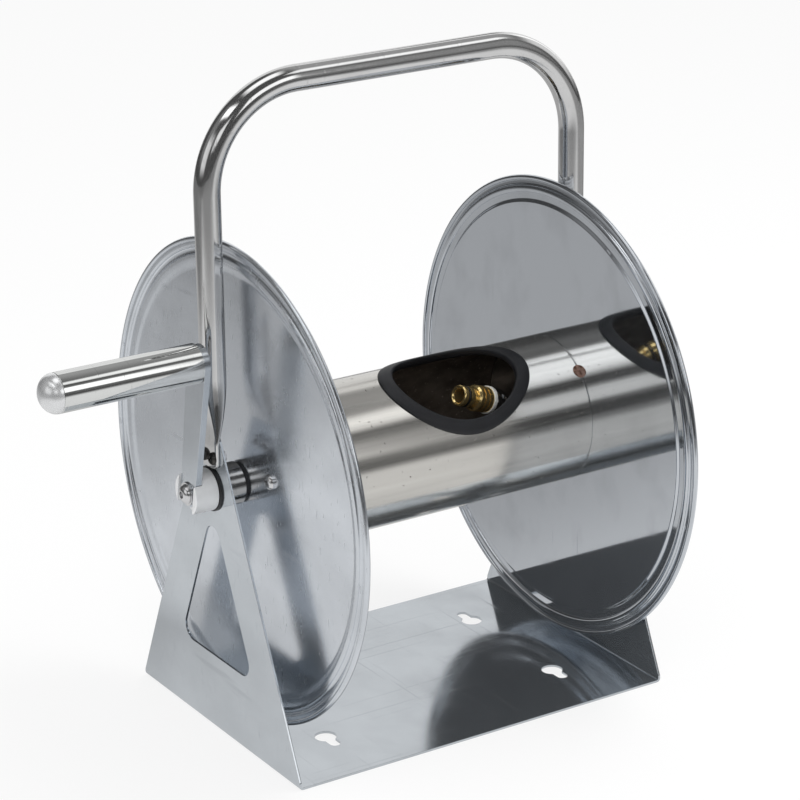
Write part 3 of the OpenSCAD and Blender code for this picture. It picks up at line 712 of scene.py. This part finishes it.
def make_drum():
    """The thin tube: a rolled grid with the faces inside the hole taken out."""
    s = sizes()
    radius = s.drum_diameter / 2
    half = s.flange_gap / 2
    ends = (0.0, DRUM_EDGE / 5, DRUM_EDGE / 2, DRUM_EDGE)
    rows = [-half + e for e in ends]
    rows += [-half + DRUM_EDGE + (2 * half - 2 * DRUM_EDGE) * i / 150 for i in range(1, 150)]
    rows += [half - e for e in reversed(ends)]

    def place(share, turn):
        x = rows[round(share * (len(rows) - 1))]
        edge = min(DRUM_EDGE, half - abs(x))
        r = radius - DRUM_EDGE_ROLL * (1 - edge / DRUM_EDGE) ** 2
        return Vector((x, -r * math.cos(turn), AXLE_HEIGHT + r * math.sin(turn)))

    obj = rolled(len(rows) - 1, 240, place, capped=False)
    bpy.ops.object.mode_set(mode="EDIT")
    bpy.ops.mesh.select_all(action="DESELECT")
    end_edit()
    for vertex in obj.data.vertices:
        u, v, rise = hole_place(vertex.co)
        vertex.select = rise > 0 and math.hypot(u, v) < 1.0
    bpy.ops.object.mode_set(mode="EDIT")
    bpy.ops.mesh.delete(type="VERT")
    bpy.ops.mesh.select_non_manifold()
    end_edit()
    for vertex in obj.data.vertices:
        u, v, rise = hole_place(vertex.co)
        reach = math.hypot(u, v)
        if vertex.select and rise > 0 and reach < 1.15:
            vertex.co = on_drum(radius, u / reach * s.opening_length, v / reach * s.opening_width)
    wall = obj.modifiers.new("Wall", "SOLIDIFY")
    wall.thickness = s.drum_wall
    wall.offset = -1.0
    apply_modifiers(obj)
    smooth(obj, 40)
    hand_over(obj, "drum_shell", "drum_tube", [made(drum_sheet), made(drum_inside)])
    for face in obj.data.polygons:
        outwards = face.normal.y * face.center.y + face.normal.z * (face.center.z - AXLE_HEIGHT)
        face.material_index = 1 if outwards < 0 else 0


def make_edging():
    """Rubber edging: a rolled section that grips the drum's wall all round the hole."""
    s = sizes()
    out = s.drum_diameter / 2
    inn = out - s.drum_wall
    lip = s.edging_lip
    section = [
        (-1.0, inn - lip * 0.2), (-1.0, out + lip * 0.1), (-0.86, out + lip * 0.75), (-0.5, out + lip),
        (0.25, out + lip * 0.98), (0.7, out + lip * 0.8), (0.93, out + lip * 0.55), (1.0, out + lip * 0.25),
        (0.985, out + AIR), (0.4, out + AIR), (0.0, out + AIR), (0.0, inn - AIR),
        (0.4, inn - AIR), (0.985, inn - AIR), (1.0, inn - lip * 0.3), (0.85, inn - lip * 0.8),
        (0.3, inn - lip), (-0.5, inn - lip), (-0.86, inn - lip * 0.75),
    ]
    section = closed_eased(section, 0.06, 1)

    def place(share, turn):
        reach, radius = section[round(turn / math.tau * (len(section) - 1))]
        grow_a = reach * (s.edging_ends if reach > 0 else s.edging_web)
        grow_b = reach * (s.edging_sides if reach > 0 else s.edging_web)
        spin = share * math.tau
        along = (s.opening_length + grow_a) * math.cos(spin)
        across = (s.opening_width + grow_b) * math.sin(spin)
        return on_drum(radius, along, across)

    obj = rolled(192, len(section) - 1, place, capped=False)
    smooth(obj, 50)
    hand_over(obj, "opening_rubber", "opening_edging")


def blend_share(t):
    t = max(0.0, min(1.0, t))
    return t * t * (3 - 2 * t)


def handle_stations():
    """Stations along half of the carry handle, from its flat end to the middle of the top bar."""
    s = sizes()
    r = s.tube / 2
    tab_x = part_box("carry_handle")[1].x
    flat_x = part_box("stand")[1].x + s.tab_sheet / 2
    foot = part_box("carry_handle")[0].z
    flat_z = AXLE_HEIGHT + CRIMP_START
    round_z = AXLE_HEIGHT + CRIMP_END
    bend_z = s.handle_height - s.handle_bend
    stations = []
    for i in range(9):
        rise = TAB_CORNER * (1 - math.cos(math.pi / 2 * i / 8))
        cut = TAB_CORNER - math.sqrt(max(0.0, TAB_CORNER ** 2 - (TAB_CORNER - rise) ** 2))
        stations.append((flat_x, foot + rise, 0.0, s.tab_sheet, s.tab_width - 2 * cut))
    for i in range(1, 5):
        z = foot + TAB_CORNER + (flat_z - foot - TAB_CORNER) * i / 4
        stations.append((flat_x, z, 0.0, s.tab_sheet, s.tab_width))
    for i in range(1, 29):
        t = i / 28
        z = flat_z + (round_z - flat_z) * t
        opening = blend_share(t ** 0.8)
        thick = s.tab_sheet + (s.tube - s.tab_sheet) * opening
        wide = s.tab_width + (s.tube - s.tab_width) * opening
        inner = flat_x - s.tab_sheet / 2
        x = inner + (s.leg_place - r - inner) * blend_share(t ** 0.7) + thick / 2
        stations.append((x, z, 0.0, thick, wide))
    for i in range(1, 9):
        z = round_z + (bend_z - round_z) * i / 8
        stations.append((s.leg_place, z, 0.0, s.tube, s.tube))
    for i in range(1, 33):
        turn = math.pi / 2 * i / 32
        x = s.leg_place - s.handle_bend * (1 - math.cos(turn))
        z = bend_z + s.handle_bend * math.sin(turn)
        stations.append((x, z, turn, s.tube, s.tube))
    bar = s.leg_place - s.handle_bend
    for i in range(1, 11):
        stations.append((bar * (1 - i / 10), s.handle_height, math.pi / 2, s.tube, s.tube))
    if max(x + thick / 2 for x, _, _, thick, _ in stations) > tab_x + 0.0005:
        raise RuntimeError("the carry handle leaves its CAD box")
    return stations


def make_handle():
    """Carry handle: one tube through its stations, flat at both ends."""
    half = handle_stations()
    left = [(-x, z, math.pi - lean, thick, wide) for x, z, lean, thick, wide in half]
    stations = left[:-1] + half[::-1]

    def place(share, turn):
        """A round section, pressed to two flat faces with rounded folds."""
        x, z, lean, thick, wide = stations[round(share * (len(stations) - 1))]
        c, n = math.cos(turn), math.sin(turn)
        u = c * thick / 2
        v = n * thick / 2 + (wide - thick) / 2 * max(-1.0, min(1.0, n / 0.3))
        return Vector((x + u * math.cos(lean), v, z + u * math.sin(lean)))

    obj = rolled(len(stations) - 1, 64, place)
    smooth(obj, 50)
    hand_over(obj, "carry_handle_tube", "carry_handle")


def make_grip():
    """Grip sleeve and its domed cap, with a fine joint line between them."""
    s = sizes()
    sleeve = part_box("grip_sleeve")
    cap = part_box("grip_end_cap")
    at = ((sleeve[0].y + sleeve[1].y) / 2, (sleeve[0].z + sleeve[1].z) / 2)
    r = s.grip_diameter / 2
    near, far, tip = sleeve[1].x, sleeve[0].x, cap[0].x
    bore = r - GRIP_WALL
    tube = [(near, bore), (near, r), (far, r), (far, bore)]
    obj = turned(closed_eased(tube, 0.0004), at)
    smooth(obj)
    hand_over(obj, "grip_tube", "grip_sleeve")
    dome = [(far + 0.006, 0.0), (far + 0.006, bore - 0.00005), (far, bore - 0.00005), (far, r - 0.0003)]
    rise = far - 0.0003 - tip
    for i in range(25):
        turn = math.pi / 2 * i / 24
        dome.append((far - 0.0003 - rise * math.sin(turn), r * math.cos(turn)))
    obj = turned(dome, at)
    smooth(obj)
    hand_over(obj, "grip_dome", "grip_end_cap")


def nipple_profile():
    """A quick-connect nipple from its thread to its tip, as (x, radius) past its base."""
    s = sizes()
    collar, nose, bore = s.nipple_collar / 2, s.nose / 2, s.nipple_bore / 2
    groove = nose - GROOVE_DEPTH
    body = NIPPLE_BODY
    tip = body + NIPPLE_STEM
    return [
        (-NIPPLE_FOOT, bore), (-NIPPLE_FOOT, THREAD_RADIUS), (0, THREAD_RADIUS), (0, collar),
        (body * 0.28, collar),
        (body * 0.28, collar - 0.0008), (body * 0.36, collar - 0.0008), (body * 0.36, collar),
        (body * 0.6, collar), (body * 0.6, collar - 0.0008), (body * 0.68, collar - 0.0008),
        (body * 0.68, collar), (body - 0.0012, collar), (body, collar - 0.0012), (body, groove + 0.0004),
        (body + 0.003, groove + 0.0004), (body + 0.0036, nose), (tip - 0.0062, nose),
        (tip - 0.0062, groove),
        (tip - 0.0034, groove), (tip - 0.0034, nose), (tip - 0.0006, nose), (tip, nose - 0.0006),
        (tip, bore + 0.001), (tip - 0.001, bore),
    ]


def make_nipple(matrix, prefix):
    """A nipple with its thread seal and its O-ring, put in place by one matrix."""
    s = sizes()

    def add(profile, name, node, degrees=32):
        obj = turned(profile, (0.0, 0.0), 96)
        smooth(obj, degrees)
        obj.matrix_world = matrix
        bpy.ops.object.transform_apply(location=True, rotation=True, scale=True)
        hand_over(obj, prefix + name, prefix + node)

    add(closed_eased(nipple_profile(), 0.00022, 2), "_nipple_body", "_nipple")
    outer = s.nipple_collar / 2 + 0.0006
    seal = [(-SEAL_LENGTH, SEAL_BORE), (-SEAL_LENGTH, outer), (0.0, outer), (0.0, SEAL_BORE)]
    add(closed_eased(seal, 0.0004), "_seal_ring", "_thread_seal")
    middle = NIPPLE_BODY + NIPPLE_STEM - RING_PLACE
    ring = s.nose / 2 - GROOVE_DEPTH + RING_THICKNESS + AIR
    loop = []
    for i in range(21):
        turn = math.tau * i / 20
        loop.append((middle + RING_THICKNESS * math.cos(turn), ring + RING_THICKNESS * math.sin(turn)))
    add(loop, "_rubber_ring", "_o_ring", 60)


def opening_frame():
    return Matrix.Translation((0, 0, AXLE_HEIGHT)) @ Matrix.Rotation(sizes().opening_lean, 4, "X")


def outlet_frame():
    tilt = sizes().outlet_tilt - math.pi
    return opening_frame() @ Matrix.Translation(OUTLET_PLACE) @ Matrix.Rotation(tilt, 4, "Y")


def make_elbow():
    """Outlet elbow: a round tube through two soft bends, with a wider socket on the shaft."""
    tilt = sizes().outlet_tilt
    away = Vector((-math.cos(tilt), 0, math.sin(tilt)))
    path = [Vector((x, 0, 0)) for x, _ in SOCKET]
    radii = [r for _, r in SOCKET]
    corners = [path[0], Vector((ELBOW_BEND, 0, 0)), Vector(OUTLET_PLACE)]
    corners.append(corners[2] + away * OUTLET_STUB)
    for before, corner, after in zip(corners, corners[1:], corners[2:]):
        reach = min(0.007, (after - corner).length * 0.7)
        into = min(reach, 0.0026) if before is corners[0] else reach
        first = corner + (before - corner).normalized() * into
        last = corner + (after - corner).normalized() * reach
        for i in range(9):
            t = i / 8
            path.append(first * (1 - t) ** 2 + corner * 2 * t * (1 - t) + last * t ** 2)
            radii.append(ELBOW_RADIUS)
    path += [corners[3] - away * 0.0004, corners[3], corners[3]]
    radii += [ELBOW_RADIUS, 0.0082, 0.0064]
    ahead = [b - a for a, b in zip(path, path[1:])]
    ways = []
    for i in range(len(path)):
        step = Vector((0, 0, 0))
        for j in (i - 1, i):
            if 0 <= j < len(ahead):
                step += ahead[j]
        ways.append(step.normalized() if step.length > 1e-9 else ways[-1] if ways else Vector((-1, 0, 0)))
    ways[0] = ways[1] = Vector((-1, 0, 0))
    ways[-1] = ways[-2] = away
    matrix = opening_frame()

    def place(share, turn):
        i = round(share * (len(path) - 1))
        side = Vector((0, 1, 0))
        up = side.cross(ways[i])
        point = path[i] + (side * math.cos(turn) + up * math.sin(turn)) * radii[i]
        return matrix @ point

    obj = rolled(len(path) - 1, 64, place)
    smooth(obj, 40)
    hand_over(obj, "elbow_tube", "outlet_elbow")


# Operators


class REEL_OT_flanges(bpy.types.Operator):
    """Spin both flanges from their pressed profile, and finish the weld beads beside them."""

    bl_idname = "reel.flanges"
    bl_label = "Flanges"

    def execute(self, context):
        make_flange(-1, "left_flange", LEFT_BORE)
        make_flange(1, "right_flange", RIGHT_BORE)
        dressed("weld_spots", "weld_beads", 0.0001, 1)
        return {"FINISHED"}


class REEL_OT_drum(bpy.types.Operator):
    """Roll the drum's tube and cut its opening."""

    bl_idname = "reel.drum"
    bl_label = "Drum"

    def execute(self, context):
        make_drum()
        return {"FINISHED"}


class REEL_OT_edging(bpy.types.Operator):
    """Lay the rubber edging round the opening."""

    bl_idname = "reel.edging"
    bl_label = "Rubber edging"

    def execute(self, context):
        make_edging()
        return {"FINISHED"}


class REEL_OT_handle(bpy.types.Operator):
    """Bend the carry handle and flatten its ends."""

    bl_idname = "reel.handle"
    bl_label = "Carry handle"

    def execute(self, context):
        make_handle()
        return {"FINISHED"}


class REEL_OT_stand(bpy.types.Operator):
    """Finish the folded stand with broken edges."""

    bl_idname = "reel.stand"
    bl_label = "Stand"

    def execute(self, context):
        dressed("stand", "stand_sheet_folded", 0.00018)
        return {"FINISHED"}


class REEL_OT_bearings(bpy.types.Operator):
    """Break the edges of the bearing housing, its bush and the thrust washers."""

    bl_idname = "reel.bearings"
    bl_label = "Bearings"

    def execute(self, context):
        dressed("left_bearing_housing", "left_bearing_housing_piece", 0.0005, 3)
        dressed("left_bearing_bush", "left_bearing_bush_piece", 0.0003, 3)
        dressed("left_thrust_washer", "left_thrust_washer_piece", 0.0003, 3)
        dressed("right_thrust_washer", "right_thrust_washer_piece", 0.0003, 3)
        return {"FINISHED"}


class REEL_OT_crank(bpy.types.Operator):
    """Break the edges of the crank's hub, arm, bolt and washer."""

    bl_idname = "reel.crank"
    bl_label = "Crank"

    def execute(self, context):
        dressed("crank_hub", "crank_hub_piece", 0.0004, 3)
        dressed("crank_arm", "crank_arm_bar", 0.0006, 3)
        dressed("crank_bolt", "crank_bolt_piece", 0.0002)
        dressed("crank_washer", "crank_washer_piece", 0.0002)
        return {"FINISHED"}


class REEL_OT_grip(bpy.types.Operator):
    """Spin the grip's sleeve and its domed cap."""

    bl_idname = "reel.grip"
    bl_label = "Grip"

    def execute(self, context):
        make_grip()
        return {"FINISHED"}


class REEL_OT_outlet(bpy.types.Operator):
    """Make the elbow and the outlet nipple inside the drum."""

    bl_idname = "reel.outlet"
    bl_label = "Water outlet"

    def execute(self, context):
        seat = Matrix.Translation((OUTLET_STUB + SEAL_LENGTH, 0, 0))
        make_nipple(outlet_frame() @ seat, "outlet")
        make_elbow()
        return {"FINISHED"}


class REEL_OT_inlet(bpy.types.Operator):
    """Make the inlet nipple on the right side plate, and finish its swivel."""

    bl_idname = "reel.inlet"
    bl_label = "Water inlet"

    def execute(self, context):
        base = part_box("inlet_thread_seal")[1].x
        make_nipple(Matrix.Translation((base, 0, AXLE_HEIGHT)), "inlet")
        dressed("swivel_body", "swivel_body_piece", 0.0004)
        dressed("swivel_locknut", "swivel_locknut_piece", 0.0004)
        dressed("swivel_washer", "swivel_washer_piece", 0.0002)
        return {"FINISHED"}


class REEL_OT_fasteners(bpy.types.Operator):
    """Break the edges of the screws and nuts."""

    bl_idname = "reel.fasteners"
    bl_label = "Fasteners"

    def execute(self, context):
        dressed("handle_screws", "handle_screw_heads", 0.00016)
        dressed("handle_nuts", "handle_nut_pieces", 0.00025)
        dressed("flange_screws", "flange_screw_heads", 0.00016)
        dressed("hub_set_screw", "hub_set_screw_piece", 0.0001, 1)
        return {"FINISHED"}


class REEL_OT_inner_parts(bpy.types.Operator):
    """Give the CAD nodes that stay their finishes."""

    bl_idname = "reel.inner_parts"
    bl_label = "Inner parts"

    def execute(self, context):
        for node, obj in frame["nodes"].items():
            obj.data.materials.clear()
            obj.data.materials.append(finish_of(node))
        return {"FINISHED"}


# Stage

# Where the camera stands, where it looks in degrees as the panels below have them, and its roll
CAMERA_PLACE = Vector((-0.92084, -1.44657, 0.81908))
CAMERA_AZIMUTH = 32.51
CAMERA_HEIGHT = -20.17
CAMERA_ROLL = math.radians(-0.64)
CAMERA_LENS = 133.19
CAMERA_SENSOR = 36.0

# Bright places that the metal mirrors: azimuth from +Y towards +X, elevation, half width, half height,
# softness, strength; the last one is a dark flag before the first
PANELS = (
    (33, 14, 0.62, 0.55, 0.08, 0.78),
    (75, 55, 0.60, 0.22, 0.15, 0.3),
    (122, 53, 0.22, 0.11, 0.05, 1.0),
    (-100, 55, 0.38, 0.10, 0.05, 1.9),
    (-143, 24, 0.22, 0.15, 0.05, 1.0),
    (165, 24, 0.25, 0.20, 0.05, 1.3),
    (82, 18, 0.45, 0.30, 0.15, 0.8),
    (-92, 18, 0.35, 0.25, 0.12, 0.8),
    (138, 20, 0.30, 0.35, 0.20, 0.2),
    (-62, 30, 0.35, 0.40, 0.15, 0.15),
    (0, 88, 0.28, 0.28, 0.10, 1.4),
    (39.2, 25.5, 0.06, 0.11, 0.012, -0.72),
)
ROOM = 0.055
FILL = 0.85


def facing(azimuth, height):
    """Forward, right and up of a direction given in degrees."""
    a, h = math.radians(azimuth), math.radians(height)
    forward = Vector((math.sin(a) * math.cos(h), math.cos(a) * math.cos(h), math.sin(h)))
    right = forward.cross(Vector((0, 0, 1))).normalized()
    return forward, right, right.cross(forward)


def make_camera():
    forward, right, up = facing(CAMERA_AZIMUTH, CAMERA_HEIGHT)
    c, n = math.cos(CAMERA_ROLL), math.sin(CAMERA_ROLL)
    turn = Matrix((right * c + up * n, up * c - right * n, -forward)).transposed().to_4x4()
    bpy.ops.object.camera_add(location=(0, 0, 0))
    camera = bpy.context.object
    camera.name = "studio_camera"
    camera.matrix_world = Matrix.Translation(CAMERA_PLACE) @ turn
    camera.data.lens = CAMERA_LENS
    camera.data.sensor_width = CAMERA_SENSOR
    camera.data.clip_start = 0.01
    bpy.context.scene.camera = camera


def dot_node(tree, vector, direction):
    node = tree.nodes.new("ShaderNodeVectorMath")
    node.operation = "DOT_PRODUCT"
    tree.links.new(vector, node.inputs[0])
    node.inputs[1].default_value = direction
    return node.outputs["Value"]


def slope(tree, value, start_at, end_at, first, last):
    """Goes softly from the first to the last number as a value passes from start to end."""
    return map_range(tree, value, (start_at, end_at, first, last), "SMOOTHSTEP")


def window(tree, value, half, soft):
    """1 where a value is within a half width, falling softly to 0."""
    return slope(tree, math_node(tree, "ABSOLUTE", value), half - soft, half + soft, 1.0, 0.0)


def make_world():
    """White for the camera, an even fill for matt surfaces, and a room with bright panels for the metal."""
    world = bpy.data.worlds.new("studio_world")
    bpy.context.scene.world = world
    world.use_nodes = True
    tree = world.node_tree
    calc = partial(math_node, tree)
    ground = tree.nodes["Background"]
    look = tree.nodes.new("ShaderNodeTexCoord").outputs["Generated"]
    total = None
    for azimuth, height, half_width, half_height, soft, strength in PANELS:
        forward, right, up = facing(azimuth, height)
        ahead = calc("MAXIMUM", dot_node(tree, look, forward), 0.001)
        sideways = calc("DIVIDE", dot_node(tree, look, right), ahead)
        upwards = calc("DIVIDE", dot_node(tree, look, up), ahead)
        patch = calc("MULTIPLY", window(tree, sideways, half_width, soft),
                     window(tree, upwards, half_height, soft))
        gate = calc("GREATER_THAN", ahead, 0.05)
        patch = calc("MULTIPLY", calc("MULTIPLY", patch, gate), strength)
        total = patch if total is None else calc("ADD", total, patch)
    room = calc("ADD", total, ROOM)
    path = tree.nodes.new("ShaderNodeLightPath")
    glossy, passed = path.outputs["Is Glossy Ray"], path.outputs["Is Transmission Ray"]
    mirror_share = calc("MAXIMUM", glossy, passed)
    rest = calc("MULTIPLY", calc("SUBTRACT", 1.0, mirror_share), FILL)
    seen = calc("ADD", calc("MULTIPLY", mirror_share, room), rest)
    camera_share = path.outputs["Is Camera Ray"]
    kept = calc("MULTIPLY", calc("SUBTRACT", 1.0, camera_share), seen)
    tree.links.new(calc("ADD", kept, camera_share), ground.inputs["Strength"])
    ground.inputs["Color"].default_value = (1, 1, 1, 1)


def floor_finish():
    """Pale floor: white to the camera with a soft shadow. Mirrors see it glow with painted light and shade:
    brighter near the reel, darker behind it and towards the front and the far sides.
    """
    material = bpy.data.materials.new("studio_floor")
    material.use_nodes = True
    tree = material.node_tree
    calc = partial(math_node, tree)
    tree.nodes.remove(tree.nodes["Principled BSDF"])
    out = tree.nodes["Material Output"]
    matt_white = tree.nodes.new("ShaderNodeBsdfDiffuse")
    matt_white.inputs["Color"].default_value = (0.82, 0.82, 0.82, 1)
    glow = tree.nodes.new("ShaderNodeEmission")
    path = tree.nodes.new("ShaderNodeLightPath")
    place = tree.nodes.new("ShaderNodeTexCoord").outputs["Object"]
    along = dot_node(tree, place, (1, 0, 0))
    back = dot_node(tree, place, (0, 1, 0))
    # Painted light for mirrors: the floor glows brighter in a pool in front of the reel and to its left,
    # and dimmer behind it.
    painted_left_light = calc("MULTIPLY", slope(tree, along, -0.22, -0.12, 0.72, 0.0),
                     slope(tree, back, 0.30, 0.60, 1.0, 0.0))
    painted_light_pool = calc("MAXIMUM", slope(tree, back, 0.03, 0.24, 0.74, 0.36), painted_left_light)
    # Painted shade for mirrors: the glow fades towards the floor's far left, front and right ends.
    painted_shade_left = slope(tree, dot_node(tree, place, (-0.845, 0.535, 0)), 0.80, 1.05, 1.0, 0.1)
    painted_shade_front = slope(tree, dot_node(tree, place, (0.535, 0.845, 0)), -1.2, -0.55, 0.12, 1.0)
    painted_shade_right = slope(tree, along, 0.42, 0.85, 1.0, 0.25)
    ends = calc("MULTIPLY", calc("MULTIPLY", painted_shade_left, painted_shade_front), painted_shade_right)
    painted_floor_light = calc("MULTIPLY", painted_light_pool, ends)
    glossy = calc("MULTIPLY", path.outputs["Is Glossy Ray"], painted_floor_light)
    tree.links.new(calc("ADD", glossy, path.outputs["Is Camera Ray"]), glow.inputs["Strength"])
    mix = tree.nodes.new("ShaderNodeMixShader")
    share = calc("MAXIMUM", path.outputs["Is Camera Ray"], path.outputs["Is Glossy Ray"])
    tree.links.new(calc("MULTIPLY", share, 0.8), mix.inputs["Fac"])
    tree.links.new(matt_white.outputs["BSDF"], mix.inputs[1])
    tree.links.new(glow.outputs["Emission"], mix.inputs[2])
    tree.links.new(mix.outputs["Shader"], out.inputs["Surface"])
    return material


def make_floor():
    start()
    bpy.ops.mesh.primitive_plane_add(size=6.0, location=(0, 0, -0.0002))
    floor = bpy.context.object
    floor.name = "studio_floor"
    bpy.ops.object.mode_set(mode="EDIT")
    bpy.ops.mesh.subdivide(number_cuts=4)
    end_edit()
    bpy.ops.object.transform_apply(location=True)
    floor.data.materials.append(floor_finish())
    floor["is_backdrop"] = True


def make_lamp(name, azimuth, height, distance, power):
    """A soft square lamp that looks at the reel. The metal mirrors the panels of the world instead."""
    forward, right, up = facing(azimuth, height)
    bpy.ops.object.light_add(type="AREA", location=(0, 0, 0))
    lamp = bpy.context.object
    lamp.name = name
    turn = Matrix((right, up, forward)).transposed().to_4x4()
    lamp.matrix_world = Matrix.Translation(Vector((0, 0, 0.2)) + forward * distance) @ turn
    lamp.data.size = 1.0
    lamp.data.energy = power
    lamp.visible_glossy = False
    lamp.visible_camera = False


class REEL_OT_stage(bpy.types.Operator):
    """Set up the floor, the camera, the lamps and the room that the metal mirrors."""

    bl_idname = "reel.stage"
    bl_label = "Stage"

    def execute(self, context):
        bpy.context.scene.view_settings.view_transform = "Standard"
        make_floor()
        make_world()
        make_lamp("lamp_top", 100, 58, 1.6, 14)
        make_lamp("lamp_front", -140, 35, 1.8, 7)
        make_camera()
        return {"FINISHED"}


class REEL_PT_panel(bpy.types.Panel):
    """Lists the reel's pieces in the order in which they are made."""

    bl_idname = "REEL_PT_panel"
    bl_label = "Hose Reel"
    bl_space_type = "VIEW_3D"
    bl_region_type = "UI"
    bl_category = "Hose Reel"

    def draw(self, context):
        for operator in OPERATORS:
            self.layout.operator(operator.bl_idname)
        for group in (context.scene.reel_sizes, context.scene.reel_colours):
            column = self.layout.column()
            for name in group.__annotations__:
                column.prop(group, name)


OPERATORS = (
    REEL_OT_inner_parts,
    REEL_OT_stand,
    REEL_OT_handle,
    REEL_OT_bearings,
    REEL_OT_flanges,
    REEL_OT_drum,
    REEL_OT_edging,
    REEL_OT_outlet,
    REEL_OT_inlet,
    REEL_OT_crank,
    REEL_OT_grip,
    REEL_OT_fasteners,
    REEL_OT_stage,
)


def register():
    for cls in (ReelSizes, ReelColours, *OPERATORS, REEL_PT_panel):
        bpy.utils.register_class(cls)
    bpy.types.Scene.reel_sizes = PointerProperty(type=ReelSizes)
    bpy.types.Scene.reel_colours = PointerProperty(type=ReelColours)


def unregister():
    del bpy.types.Scene.reel_colours
    del bpy.types.Scene.reel_sizes
    for cls in reversed((ReelSizes, ReelColours, *OPERATORS, REEL_PT_panel)):
        bpy.utils.unregister_class(cls)


def corners(box):
    return [[round(value, 5) for value in corner] for corner in box]


def main():
    register()
    for operator in OPERATORS:
        group, name = operator.bl_idname.split(".")
        getattr(getattr(bpy.ops, group), name)()
    {"cad": corners(cad_box), "visual": corners(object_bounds())}


if __name__ == "__main__":
    main()
